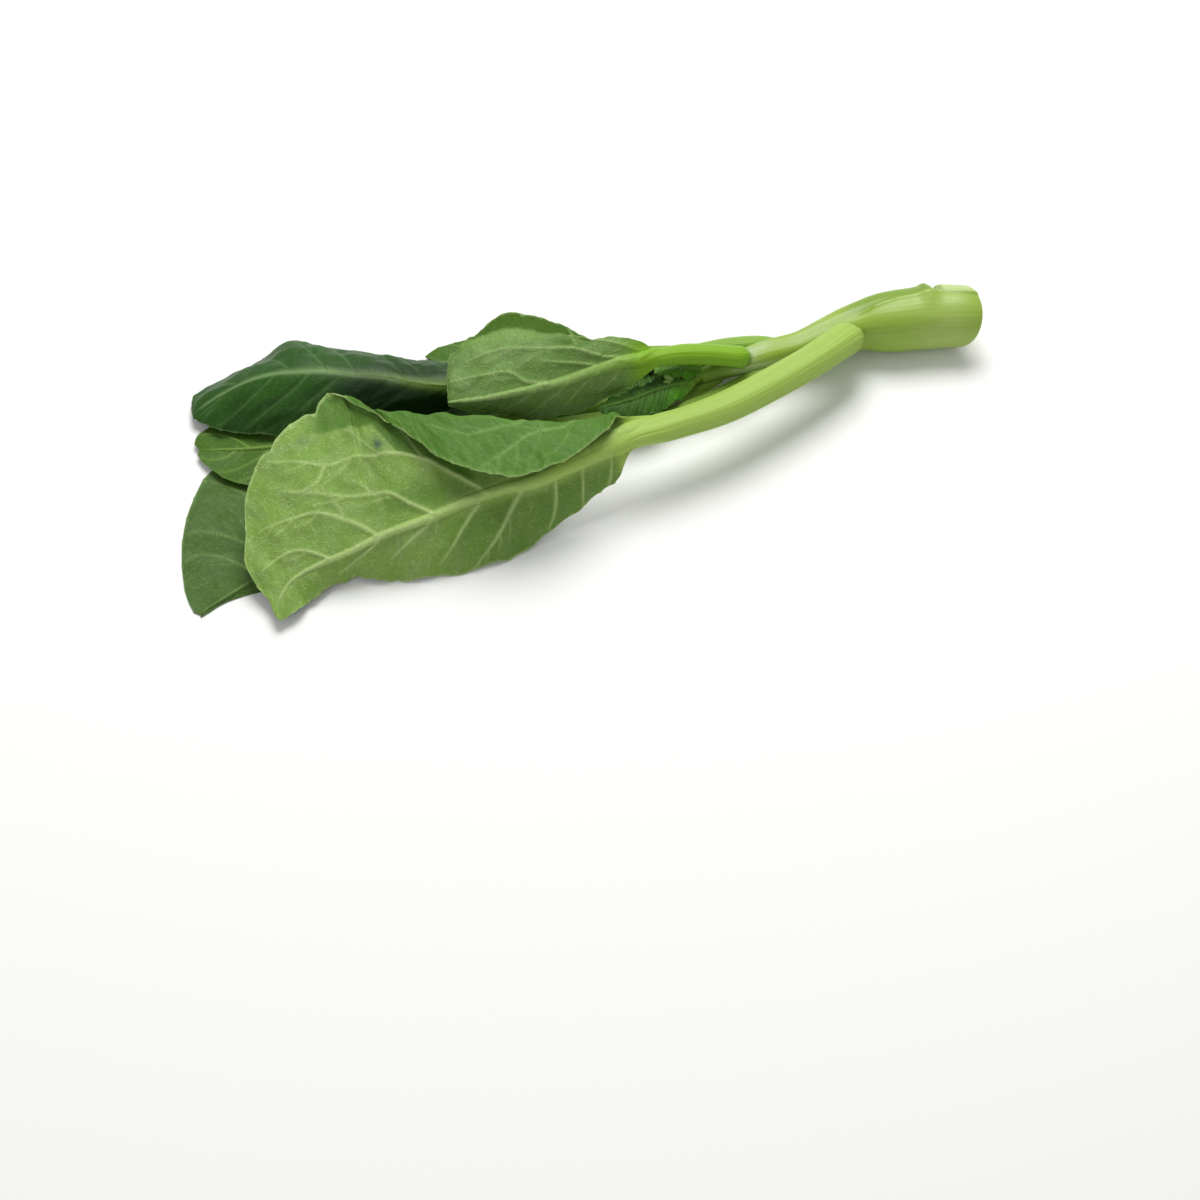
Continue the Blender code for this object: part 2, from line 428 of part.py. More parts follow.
def apply_modifiers(thing):
    bpy.context.view_layer.update()
    depsgraph = bpy.context.evaluated_depsgraph_get()
    old = thing.data
    thing.data = bpy.data.meshes.new_from_object(thing.evaluated_get(depsgraph))
    thing.data.name = thing.name
    thing.modifiers.clear()
    bpy.data.meshes.remove(old)


def join_all(thing, others):
    """Fuse the other objects into the thing and remove them."""
    group = bpy.data.collections.new("joined")
    bpy.context.scene.collection.children.link(group)
    for other in others:
        bpy.context.scene.collection.objects.unlink(other)
        group.objects.link(other)
    union = thing.modifiers.new("union", "BOOLEAN")
    union.operation, union.solver = "UNION", "MANIFOLD"
    union.operand_type, union.collection = "COLLECTION", group
    apply_modifiers(thing)
    for other in others:
        bpy.data.objects.remove(other, do_unlink=True)
    bpy.data.collections.remove(group)


def seat_on_stem(thing, seat):
    """Cut the thing's base to the stem's surface, a hair's gap off it."""
    cut = thing.modifiers.new("seat", "BOOLEAN")
    cut.operation, cut.solver, cut.object = "DIFFERENCE", "MANIFOLD", seat
    apply_modifiers(thing)


# The stem, and a slightly larger one that the leaves' bases are cut with
stem_solids = [round_solid(STEM_LINE, 21, 30, gap, stem_relief, END_SLANT) for gap in (0.0, SEAT_GAP)]
stem = mesh_object("stem", stem_solids[0], STEM_GREEN, 0.45)
seat = mesh_object("seat", stem_solids[1], STEM_GREEN, 0.45)

# The leaves, from the top of the heap to the bottom
leaves = [
    mesh_object("leaf_1", leaf_solid(LEAF_1, stations=44, far_points=11, crease_radius=2.2), PALE_LEAF, 0.5),
    mesh_object("leaf_2", leaf_solid(LEAF_2, stations=25, far_points=8, crease_radius=6.0),
                TOP_LEAF, 0.5),
    mesh_object("leaf_3", leaf_solid(LEAF_3, rib_up=False, stations=29, far_points=8,
                                     crease_radius=6.0), DARK_LEAF, 0.5),
    mesh_object("leaf_4", leaf_solid(LEAF_4, stations=22, near_points=5, far_points=5, wave=0.0,
                                     near_bow=0.01, far_bow=0.01),
                PALE_LEAF, 0.5),
    mesh_object("leaf_5", leaf_solid(LEAF_5, stations=18, near_points=5, far_points=5, wave=0.0,
                                     near_bow=0.02, far_bow=0.02),
                DARK_LEAF, 0.5),
    mesh_object("leaf_6", leaf_solid(LEAF_6, stations=24, near_points=5, crease_radius=20.0, wave=0.0,
                                     near_bow=0.0, far_bow=0.0),
                GREY_LEAF, 0.5),
]

# The young tip: a short stalk, its small leaves and a cluster of flower buds, in one piece
tip = mesh_object("shoot_tip", round_solid(TIP_LINE, 4, 10), YOUNG_LEAF, 0.5)
growths = [mesh_object("young", leaf_solid(rows, stations=9, near_points=4, far_points=4, wave=0.5,
                                           wave_length=9.0), YOUNG_LEAF, 0.5)
           for rows in YOUNG_LEAVES]
for number in range(BUD_COUNT):
    angle, out = number * math.radians(137.5), 0.9 * math.sqrt(number)
    centre = place((22.5 - 1.6 * (number % 2), 84.6 + out * math.cos(angle), 11.8 + out * math.sin(angle)))
    ball = bmesh.new()
    bmesh.ops.create_icosphere(ball, subdivisions=2, radius=METRES)
    bmesh.ops.scale(ball, vec=(BUD_HALF_LENGTH, BUD_RADIUS, BUD_RADIUS), verts=ball.verts)
    bmesh.ops.translate(ball, vec=centre, verts=ball.verts)
    mesh = bpy.data.meshes.new("bud")
    ball.to_mesh(mesh)
    ball.free()
    bud = bpy.data.objects.new("bud", mesh)
    bpy.context.scene.collection.objects.link(bud)
    growths.append(bud)
join_all(tip, growths)

for thing in leaves + [tip]:
    seat_on_stem(thing, seat)
bpy.data.objects.remove(seat, do_unlink=True)
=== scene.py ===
import math

import bpy
import numpy as np
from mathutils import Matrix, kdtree


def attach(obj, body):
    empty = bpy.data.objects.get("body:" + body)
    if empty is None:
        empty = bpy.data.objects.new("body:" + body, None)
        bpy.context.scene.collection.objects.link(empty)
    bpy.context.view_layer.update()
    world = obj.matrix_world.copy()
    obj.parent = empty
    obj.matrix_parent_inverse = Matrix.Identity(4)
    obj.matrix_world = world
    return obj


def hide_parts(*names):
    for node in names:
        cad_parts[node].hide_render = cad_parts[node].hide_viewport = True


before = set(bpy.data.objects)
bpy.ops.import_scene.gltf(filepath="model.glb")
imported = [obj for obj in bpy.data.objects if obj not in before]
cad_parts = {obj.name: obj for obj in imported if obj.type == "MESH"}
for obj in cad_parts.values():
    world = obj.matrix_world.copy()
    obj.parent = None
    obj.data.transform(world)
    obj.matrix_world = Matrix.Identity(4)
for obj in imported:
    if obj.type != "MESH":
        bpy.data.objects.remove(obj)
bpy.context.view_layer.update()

# The view and the table.
# The stalk lies on a plain white table, seen from the side and above by a long lens, under one
# large soft lamp behind and above it and light from a white room all round.
ELEVATION = math.radians(55)        # of the view above the table
VIEW_DISTANCE = 0.970               # from the lens to the middle of the view on the table
FOOTPRINT_MIDDLE = (-4.3, 58.9)     # mm, the middle of the stalk's footprint in the view's frame
TABLE_REACH = 4                     # m from the stalk to the table's edges


def place(points):
    """Millimetres in the view's frame to metres about the middle of the footprint."""
    return (np.asarray(points, float) - (*FOOTPRINT_MIDDLE, 0.0)) * 0.001


def linear(colour):
    """An sRGB hex colour as linear red, green, blue and alpha."""
    parts = [int(colour[k:k + 2], 16) / 255 for k in (1, 3, 5)]
    return (*[p / 12.92 if p <= 0.04045 else ((p + 0.055) / 1.055) ** 2.4 for p in parts], 1.0)


def set_inputs(tree, node, inputs):
    """Set the node's inputs to values, or link them to sockets.  A node stands for its result: the
    third output of a colour Mix or an Attribute node, the first one of any other."""
    for name, value in inputs.items():
        if isinstance(value, bpy.types.Node):
            third = value.type == "ATTRIBUTE" or getattr(value, "data_type", "") == "RGBA"
            value = value.outputs[2 if third else 0]
        if isinstance(value, bpy.types.NodeSocket):
            tree.links.new(value, node.inputs[name])
        else:
            node.inputs[name].default_value = value


def add_node(tree, kind, inputs, **settings):
    """A new node with its settings and with its inputs set or linked."""
    node = tree.nodes.new(kind)
    for name, value in settings.items():
        setattr(node, name, value)
    set_inputs(tree, node, inputs)
    return node


def new_material(name):
    """An empty node material and its tree and Principled shader."""
    material = bpy.data.materials.new(name)
    material.use_nodes = True
    return material, material.node_tree, material.node_tree.nodes["Principled BSDF"]


# Matt white laminate: evenly pale, with no sheen that would show a lamp
table_laminate, tree, shader = new_material("matt white laminate")
place_on = add_node(tree, "ShaderNodeTexCoord", {})
grain = add_node(tree, "ShaderNodeTexNoise", {"Vector": place_on.outputs["Object"], "Scale": 900.0})
bumps = add_node(tree, "ShaderNodeBump", {"Height": grain, "Strength": 0.1, "Distance": 0.0001})
set_inputs(tree, shader, {"Base Color": linear("#f3f3f1"), "Roughness": 0.9, "Normal": bumps})

mesh = bpy.data.meshes.new("table")
mesh.from_pydata([(TABLE_REACH * a, TABLE_REACH * b, 0)
                  for a, b in ((-1, -1), (1, -1), (1, 1), (-1, 1))], [], [(0, 1, 2, 3)])
mesh.materials.append(table_laminate)
table = bpy.data.objects.new("table", mesh)
bpy.context.scene.collection.objects.link(table)

aim = place((0.0, 0.0, 0.0))
away = np.array((0.0, -math.cos(ELEVATION), math.sin(ELEVATION)))
camera = bpy.data.objects.new("view", bpy.data.cameras.new("view"))
camera.data.lens, camera.data.sensor_width = 85.0, 36.0
camera.location = aim + away * VIEW_DISTANCE
camera.rotation_euler = (math.pi / 2 - ELEVATION, 0.0, 0.0)
bpy.context.scene.collection.objects.link(camera)
bpy.context.scene.camera = camera

for name, spot, width, power in (("back lamp", (0.02, 0.60, 1.00), 0.75, 13.0),
                                 ("front lamp", (-0.50, -0.95, 1.00), 0.9, 2.0)):
    light = bpy.data.lights.new(name, "AREA")
    light.shape, light.size, light.energy = "DISK", width, power
    lamp = bpy.data.objects.new(name, light)
    lamp.location = spot
    lamp.rotation_mode = "QUATERNION"
    lamp.rotation_quaternion = (-lamp.location).to_track_quat("-Z", "Y")
    bpy.context.scene.collection.objects.link(lamp)
world = bpy.data.worlds.new("white room")
world.use_nodes = True
set_inputs(world.node_tree, world.node_tree.nodes["Background"],
           {"Color": (1.0, 1.0, 1.0, 1.0), "Strength": 0.42})
bpy.context.scene.world = world
bpy.context.scene.view_settings.view_transform = "Standard"


# The stem.
# A thick, juicy flowering stem, cut off with a knife at the root's end.  Its waxy rind has low
# ridges that run down from the leaves' bases, and the torn stub of an old leaf near the cut.
STEM_RADIUS = 11.25         # mm
END_SLANT = 9.6             # mm that the cut end is further back low on its far side
SLANT_REACH = 34.0          # mm along the stem, over which the slant dies away
VIEW_WAY = (0, 0.57, -0.82)         # the way that the view looks: to the far side and down
STEM_RINGS, STEM_SIDES, END_RINGS = 170, 120, 10
MAP_RADIUS = 9.0            # mm, the radius at which the rind is rolled out flat for its streaks
SWELLINGS = ((100, 6), (60, 7))                         # mm: leaf bases along x, and their spread
RIDGE = (93, 108, 124), np.radians((172, 188, 190))     # mm along x, and angles round the stem
PEEL = (121, 137), np.radians((196, 187))               # edge of the peeled skin, in the same way
STUB = 119                  # mm along x, the middle of the old leaf's base
SCAR = (118.9, 124.4)       # mm along x, the torn stub's slope and its wall
TEAR = (3.42, 4.75)         # radians round the stem, from which to which the old leaf tore off
# The leaf stalks' bases, round which shade is painted on the stem
LEAF_BASES = [              # mm: start, end and radius of the leaf stalks that shade the stem
    ((87.5, 101.5, 17.5), (77, 91.5, 19), 6.7),
    ((50, 94.6, 16), (41, 93.5, 18.5), 4.1),
    ((67, 102, 10.6), (60, 104, 10.8), 3.7),
]
STEM_LINE = [               # mm: x, y, z and radius, from the cut end to the tip
    (137.6, 118.0, 10.8, 10.2),
    (136.4, 118.0, 10.8, 10.9),
    (130.0, 118.0, 10.8, STEM_RADIUS),
    (116.0, 117.3, 10.8, STEM_RADIUS),
    (107.0, 116.0, 10.8, 11.0),
    (101.0, 115.2, 10.8, 10.0),
    (95.0, 114.0, 10.8, 8.8),
    (88.0, 111.5, 10.8, 7.9),
    (80.5, 108.3, 10.8, 6.5),
    (72.0, 104.0, 10.8, 5.5),
    (63.5, 101.0, 10.8, 5.1),
    (57.5, 99.0, 10.7, 4.9),
    (52.0, 97.3, 10.4, 4.5),
    (46.5, 95.3, 10.0, 3.9),
    (41.0, 93.2, 9.6, 3.3),
    (35.8, 90.8, 9.2, 2.5),
]


def unit(vectors):
    length = np.linalg.norm(vectors, axis=-1, keepdims=True)
    return vectors / np.maximum(length, 1e-9)


def eased(value):
    value = np.clip(value, 0.0, 1.0)
    return value * value * (3 - 2 * value)


def bell(value, width):
    return np.exp(-(value / width) ** 2)


def through(knots, values, at):
    """Smooth curve through the values at the knots: a cubic between each two of them."""
    values = np.asarray(values, float)
    slopes = np.gradient(values, knots, axis=0)
    k = np.clip(np.searchsorted(knots, at, side="right") - 1, 0, len(knots) - 2)
    span = knots[k + 1] - knots[k]
    f = (at - knots[k]) / span
    if values.ndim > 1:
        span, f = span[:, None], f[:, None]
    return ((1 + 2 * f) * (1 - f) ** 2 * values[k] + f * (1 - f) ** 2 * span * slopes[k]
            + f * f * (3 - 2 * f) * values[k + 1] + f * f * (f - 1) * span * slopes[k + 1])


def knots_of(*lines):
    """A knot at each row: the mean way along the lines so far."""
    chords = sum(np.linalg.norm(np.diff(line, axis=0), axis=1) for line in lines) / len(lines)
    return np.concatenate([[0], np.cumsum(chords)])


def rod(line, rings, sides, relief=None, slant=0.0, close=()):
    """Grid of points round a line of centres and radii, with its way along and the angles."""
    line = np.array(line, float)
    knots = knots_of(line[:, :3])
    at = np.unique(np.concatenate([knots[:3], np.linspace(knots[2], knots[-1], rings), close]))
    along = through(knots, line, at)
    ahead = unit(np.gradient(along[:, :3], at, axis=0))
    side = unit(np.cross((0, 0, 1), ahead))
    up = np.cross(ahead, side)
    angle = np.arange(sides) * 2 * math.pi / sides
    radius = np.repeat(along[:, 3:4], sides, 1)
    if relief:
        radius = radius + relief(along[:, :1], angle[None, :])
    ring = side[:, None] * np.sin(angle)[None, :, None] - up[:, None] * np.cos(angle)[None, :, None]
    points = along[:, None, :3] + ring * radius[..., None]
    depth = (points - along[:, None, :3]) @ VIEW_WAY / along[:, 3:4]
    back = slant * (1 + depth) / 2 * eased(1 - at / SLANT_REACH)[:, None]
    points += ahead[:, None] * back[..., None]
    points[..., 2] = np.maximum(points[..., 2], 0.0)
    return points, at, angle


def closed_rod(points, end_rings, sunk):
    """A rod's grid with its two ends closed by rings that shrink to a point, and its faces."""
    layers = [points]
    for end, inner in ((0, -3), (-1, -4)):
        centre = points[end].mean(0)
        outward = unit(centre - points[inner].mean(0))
        shares = np.linspace(1, 0.02, end_rings + 1)[1:]
        rings = np.array([centre + (points[end] - centre) * s - outward * sunk * eased((1 - s) * 3)
                          for s in shares])
        layers = [rings[::-1]] + layers if end == 0 else layers + [rings]
    grid = np.concatenate(layers)
    rows, columns = grid.shape[:2]
    index = np.arange(rows * columns).reshape(rows, columns)
    a, b = index[:-1], index[1:]
    faces = np.stack([a, np.roll(a, -1, 1), np.roll(b, -1, 1), b], -1).reshape(-1, 4).tolist()
    return grid, [index[0, ::-1].tolist()] + faces + [index[-1].tolist()]


def add_uv(mesh, spots):
    """The piece's own map: a place in millimetres on its skin for every point."""
    layer = mesh.uv_layers.new(name="skin")
    corners = np.empty(len(mesh.loops), dtype=np.int32)
    mesh.loops.foreach_get("vertex_index", corners)
    layer.uv.foreach_set("vector", np.asarray(spots, np.float32)[corners].ravel())


def add_value(mesh, name, values):
    mesh.attributes.new(name, "FLOAT", "POINT").data.foreach_set(
        "value", np.asarray(values, np.float32).ravel())


def new_piece(name, points, faces, materials, material_of_face=None, sharp=50):
    """A smooth-shaded object of the points, in millimetres, and the faces."""
    mesh = bpy.data.meshes.new(name)
    mesh.from_pydata(place(points).tolist(), [], faces)
    for material in materials:
        mesh.materials.append(material)
    if material_of_face is not None:
        mesh.polygons.foreach_set("material_index", np.asarray(material_of_face, np.int32))
    mesh.polygons.foreach_set("use_smooth", np.ones(len(mesh.polygons), bool))
    mesh.set_sharp_from_angle(angle=math.radians(sharp))
    piece = bpy.data.objects.new(name, mesh)
    bpy.context.scene.collection.objects.link(piece)
    return piece


def torn(x, angle):
    """Where round the stem the old leaf tore off: from the top over to the back."""
    ragged = 0.07 * np.sin(1.9 * x) + 0.05 * np.sin(4.3 * x + 1)
    return eased((angle - TEAR[0] - ragged) / 0.3) * eased((TEAR[1] + 2 * ragged - angle) / 0.4)


def stem_relief(x, angle):
    """Swellings at the leaves' bases, ridges, and the torn stub with the skin peeled behind it."""
    relief = sum(0.5 * bell(x - base, spread) for base, spread in SWELLINGS)
    taper = eased((130 - x) / 12) * eased((x - 40) / 30)
    relief = relief + 0.25 * np.cos(5 * angle + 0.6) * taper
    relief = relief + 1.6 * bell(x - STUB, 3.5) * bell(angle - math.radians(195), 0.45)
    ridge = bell(angle - np.interp(x, *RIDGE), 0.06)
    relief = relief + 0.35 * ridge * eased((x - 90) / 6) * eased((126 - x) / 6)
    peeled = eased((angle - np.interp(x, *PEEL)) / 0.06)
    behind = eased((x - 125) / 0.9) * peeled * eased((4.9 - angle) / 0.3)
    wall = (SCAR[1] + 0.5 * np.sin(7 * angle) + 0.3 * np.sin(17 * angle)
            + 2.2 * np.maximum(angle - 3.9, 0))
    notch = eased((x - SCAR[0]) / 5.4) * (1 - eased((x - wall) / 1.6)) * torn(x, angle)
    lip = 0.6 * bell(x - 118.2, 1.3) * torn(x, angle)
    fibres = 0.03 * np.cos(41 * angle + 0.4 * np.sin(x / 9)) + 0.02 * np.cos(67 * angle + 1.3)
    return relief + 0.5 * behind - 3.0 * notch + lip + fibres


# Waxy rind: yellow-green, paler towards the cut, with fine lengthwise streaks, a patchy grey
# bloom of wax that is also a painted highlight by the leaf bases, and a soft shine
stem_rind, tree, shader = new_material("waxy stem rind")
skin = add_node(tree, "ShaderNodeUVMap", {}, uv_map="skin")
lengthwise = add_node(tree, "ShaderNodeMapping", {"Vector": skin, "Scale": (0.03, 1.1, 1.0)})
streaks = add_node(tree, "ShaderNodeTexNoise",
                   {"Vector": lengthwise, "Scale": 1.0, "Detail": 5.0, "Roughness": 0.6})
patches = add_node(tree, "ShaderNodeTexNoise", {"Vector": skin, "Scale": 0.06, "Detail": 3.0})
paler, deep_green_and_shade, waxy = (add_node(tree, "ShaderNodeAttribute", {}, attribute_name=name)
                       for name in ("pale", "deep", "wax"))
patchy_streaks = add_node(tree, "ShaderNodeMath", {0: patches, 1: streaks}, operation="ADD")
patchy_streaks = add_node(tree, "ShaderNodeMapRange", {"Value": patchy_streaks, "From Min": 0.9, "From Max": 1.25})
bloom_and_highlight = add_node(tree, "ShaderNodeMath", {0: waxy, 1: patchy_streaks}, operation="MULTIPLY")
# Over the rind: streaks, paler green, deep green and painted shade, wax and painted highlight
rind = linear("#7f9f2c")
for share, colour in ((streaks, "#9bb548"), (paler, "#b3c47c"), (deep_green_and_shade, "#567a17"),
                      (bloom_and_highlight, "#c3cfb2")):
    rind = add_node(tree, "ShaderNodeMix", {0: share, 6: rind, 7: linear(colour)},
                    data_type="RGBA")
gloss = add_node(tree, "ShaderNodeMapRange", {"Value": bloom_and_highlight, "To Min": 0.36, "To Max": 0.62})
bumps = add_node(tree, "ShaderNodeBump", {"Height": streaks, "Strength": 0.5, "Distance": 0.0002})
set_inputs(tree, shader, {
    "Base Color": rind, "Roughness": gloss, "Normal": bumps, "Specular IOR Level": 0.35,
    "Subsurface Weight": 0.12, "Subsurface Radius": (0.6, 1.0, 0.3), "Subsurface Scale": 0.002})

# Wet cut flesh: nearly white pith, a ring of green strands under the rind
cut_flesh, tree, shader = new_material("cut stem flesh")
skin = add_node(tree, "ShaderNodeUVMap", {}, uv_map="skin")
inwards = add_node(tree, "ShaderNodeAttribute", {}, attribute_name="inwards")
cells = add_node(tree, "ShaderNodeTexVoronoi", {"Vector": skin, "Scale": 0.55})
strands = add_node(tree, "ShaderNodeMapRange", {"Value": cells, "From Min": 0.15,
                                                "From Max": 0.45, "To Min": 1.0, "To Max": 0.0})
ring = add_node(tree, "ShaderNodeValToRGB", {0: inwards})
rim, core = ring.color_ramp.elements
rim.position, rim.color = 0.05, (0.2, 0.2, 0.2, 1)
core.position, core.color = 0.36, (0, 0, 0, 1)
ring.color_ramp.elements.new(0.2).color = (1, 1, 1, 1)
strands = add_node(tree, "ShaderNodeMath", {0: strands, 1: ring}, operation="MULTIPLY")
pith = add_node(tree, "ShaderNodeMapRange", {"Value": inwards, "From Min": 0.05, "From Max": 0.4})
flesh = linear("#a5b76a")
for share, colour in ((pith, "#dbe2bf"), (strands, "#88a04e")):
    flesh = add_node(tree, "ShaderNodeMix", {0: share, 6: flesh, 7: linear(colour)},
                     data_type="RGBA")
damp = add_node(tree, "ShaderNodeBump", {"Height": cells, "Strength": 0.6, "Distance": 0.0003})
set_inputs(tree, shader, {
    "Base Color": flesh, "Roughness": 0.35, "Normal": damp, "Subsurface Weight": 0.2,
    "Subsurface Radius": (0.8, 1.0, 0.5), "Subsurface Scale": 0.002})

grid, at, angle = rod(STEM_LINE, STEM_RINGS, STEM_SIDES, stem_relief, END_SLANT,
                      close=np.arange(9.0, 22.0, 0.3))
points, faces = closed_rod(grid, END_RINGS, sunk=0.5)
inside = np.zeros(len(points))
inside[:END_RINGS] = np.linspace(1, 0, END_RINGS + 1)[:-1]
inside[-END_RINGS:] = np.linspace(0, 1, END_RINGS + 1)[1:]
x = points[..., 0]
# The wax bloom along the stem: real wax, heaped by the leaf bases as a painted highlight
wax = 0.9 * bell(x - 53, 8) + 0.25 * bell(x - 78, 12) + 0.08 * bell(x - 118, 12)
pale = (eased((x - 104) / 28) * (0.35 - 0.28 * eased((x - 127) / 8))
        + 0.9 * eased((x - 121.5) / 2) * eased((angle - 3.35) / 0.08) * (angle < 4.9))

# Deeper green behind the ridge, and at the thin end partly as painted shade; a dark line at the
# peel's edge; painted shade in the torn stub and where the leaves' stalks touch
behind = eased((angle - np.interp(x, *RIDGE)) / 0.05)
deep = np.maximum.reduce([
    0.45 * behind * eased((4.4 - angle) / 0.4) * eased((x - 84) / 10) * eased((120 - x) / 2),
    0.7 * eased((52 - x) / 10),
    bell(x - 120.2, 1.2) * torn(x, angle),
    0.5 * bell(angle - np.interp(x, *PEEL), 0.035) * eased((x - 122) / 2)])
# Painted shade on the rind round each leaf stalk's base
for start, end, radius in LEAF_BASES:
    start, end = np.array(start, float), np.array(end, float)
    share = np.clip((points - start) @ (end - start) / ((end - start) @ (end - start)), 0, 1)
    gap = np.linalg.norm(points - start - share[..., None] * (end - start), axis=-1) - radius
    deep = np.maximum(deep, 0.8 * bell(np.maximum(gap, 0), 0.8))
along = np.concatenate([np.full(END_RINGS, at[0]), at, np.full(END_RINGS, at[-1])])
spots = np.stack([np.broadcast_to(along[:, None], x.shape),
                  np.broadcast_to(angle * MAP_RADIUS, x.shape)], -1)
spots[:END_RINGS + 1] = points[:END_RINGS + 1, :, 1:] - points[0].mean(0)[1:]
is_cut = np.arange(len(faces)) <= (END_RINGS - 1) * STEM_SIDES
stem = new_piece("stem_skin", points.reshape(-1, 3), faces, [stem_rind, cut_flesh], is_cut, 40)
add_uv(stem.data, spots.reshape(-1, 2))
add_value(stem.data, "pale", np.clip(pale, 0, 1))
add_value(stem.data, "wax", np.clip(wax * (1 - deep), 0, 1))
add_value(stem.data, "deep", deep)
add_value(stem.data, "inwards", np.repeat(inside, STEM_SIDES))
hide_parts("stem")
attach(stem, "root")


# The large top leaf.
# It turns its pale underside up, with the round stalk and the raised veins, and its upper edge is
# folded right over, so that a strip of the darker upper side shows.  It grows from the stem.
# mm: middle of the rib, (half width, half depth), and where there is a blade, its near edge, the
# crease if it has one there, and its far edge
LEAF_1 = [
    ((92.3, 107.3, 14.8), (6.8, 5.0)),
    ((87.5, 101.5, 17.5), (6.7, 5.0)),
    ((77, 91.5, 19), (6.4, 5.0)),
    ((60, 78.5, 20), (6.4, 4.9)),
    ((42, 66.5, 21), (6.2, 4.8)),
    ((24.5, 58.5, 22), (5.8, 4.5)),
    ((10.5, 53, 22.5), (5.3, 4.2), (10.5, 47.5, 21.5), (9, 58, 24.5), (9, 59, 26.5)),
    ((5.5, 51, 22.5), (5.0, 4.1), (8.5, 45, 18), (5, 59, 26.5), (5.5, 55.5, 30.5)),
    ((0.5, 48.5, 22.5), (4.6, 3.9), (6.5, 42.5, 14), (1, 56.8, 28.5), (2, 49, 31.5)),
    ((-10.5, 42, 22), (3.6, 3.2), (-4, 35.5, 9), (-12, 53.5, 30), (-9.5, 38, 32)),
    ((-23, 35, 21), (2.6, 2.6), (-15.5, 28, 4), (-27.5, 53.5, 31), (-23.5, 30, 32)),
    ((-34.5, 32, 20), (2.2, 2.3), (-27, 19.5, 1.5), (-42, 54.7, 32), (-37, 30, 32)),
    ((-45.5, 27.5, 19.5), (2.0, 2.1), (-39.5, 13.5, 1), (-56, 55.2, 32), (-50.5, 34, 33)),
    ((-56.5, 22.5, 18), (1.8, 1.9), (-52.5, 10, 1), (-70, 55.6, 32), (-63, 43.5, 33)),
    ((-66.5, 18.5, 17), (1.6, 1.7), (-64.5, 8, 1), (-81, 58, 31.5), (-75, 53, 34)),
    ((-71.5, 17, 16), (1.5, 1.6), (-70.5, 7.5, 1.2), (-87, 63.4, 30), (-84.5, 60, 32)),
    ((-76.5, 15, 15), (1.4, 1.5), (-76.5, 7.5, 1.6), (-90.5, 65, 28.7), (-92, 66.5, 29.3)),
    ((-84.5, 11.5, 13), (1.2, 1.3), (-84, 8, 2.0), (-99, 57.5, 26.5), (-101, 61, 27)),
    ((-92, 9, 11), (1.1, 1.1), (-90, 5.5, 2.4), (-110, 46, 23.5), (-112.5, 50.5, 24)),
    ((-97.5, 7, 9.5), (1.0, 1.0), (-94, 2, 2.8), (-115.5, 38, 19.5), (-118.5, 42.5, 20)),
    ((-101.5, 5, 8.5), (0.9, 0.9), (-97.5, -1, 3), (-119, 27, 15), (-122, 31, 15.5)),
    ((-105, 2.5, 7.5), (0.8, 0.8), (-100.5, -4, 3.5), (-119, 17, 10.8), (-121.5, 19.5, 11)),
    ((-107, 0, 6.5), (0.7, 0.7), (-102.5, -7, 4), (-118.5, 7.5, 8.3), (-121, 8.5, 8.5)),
    ((-108.5, -3.5, 6), (0.6, 0.6), (-105, -9, 4), (-115, 0.3, 6.4), (-116.5, 1, 6.5)),
    ((-109.5, -7.5, 5), (0.5, 0.5), (-107, -10.5, 4), (-112, -4.7, 5.4), (-112.5, -4, 5.5)),
    ((-109.5, -10.5, 4.5), (0.5, 0.5), (-108.5, -11.5, 4.5), (-110.2, -9.4, 4.9), (-110.5, -9, 5)),
]
LEAF_1_VEINS = [            # mm: (way along the leaf, way out from the rib), far side positive
    [(106, 3), (114, 9), (127, 18), (138, 28), (149, 42), (157, 52)],
    [(120, 3), (132, 15), (145, 28), (151, 33), (159, 39), (171, 41)],
    [(138, 3), (149, 16), (164, 26), (180, 34)],
    [(160, 1), (170, 11), (177, 19), (186, 25), (198, 27.5), (211, 30.5), (219, 32), (226, 37),
     (233, 42)],
    [(219, 32), (223, 27), (228, 26), (233, 29)],
    [(182, 1), (189, 7), (196, 13), (205, 14.5), (213, 17), (220, 21), (230, 27)],
    [(209, 1), (215, 8), (221, 13.5), (227, 17), (237, 19), (247, 21)],
    [(229, 0.5), (234, 5), (240, 8), (247, 9), (256, 10)],
    [(110, -3), (114, -9), (118, -14)],
    [(123, -3), (126, -9), (129, -17)],
    [(134, -3), (138, -11), (144, -20)],
    [(147, -2), (156, -10), (166, -19), (174, -25)],
    [(164, -2), (174, -9), (184, -17)],
    [(183, -1), (193, -5), (203, -9)],
    [(208, -1), (218, -4), (226, -6)],
]
SHEET = 0.22                # mm, half the blade's thickness
CLEARANCE = 0.4             # mm, the least height of a blade's middle surface over the table
GLAND_STEP, GLAND_DEPTH = 6.3, 0.35         # mm, between the margin's pale glands, and their nicks
PUFF_REACH = 3.2            # mm from a vein, within which the blade puffs up
CRINKLES = (16.0, 12.0, 9.0, 7.0, 5.5, 4.5)     # mm, the lengths of the crinkles' waves
VEIN_FROM, VEIN_TO, TWIG_TO = 0.85, 0.27, 0.08  # mm: widths of side veins and ends of their twigs


def bowed(start, end, lift):
    """24 points of a shallow bow from start to end whose middle stands off by the lift."""
    f = np.linspace(0.0, 1.0, 24)[:, None]
    return start + (end - start) * f + lift * 4 * f * (1 - f)


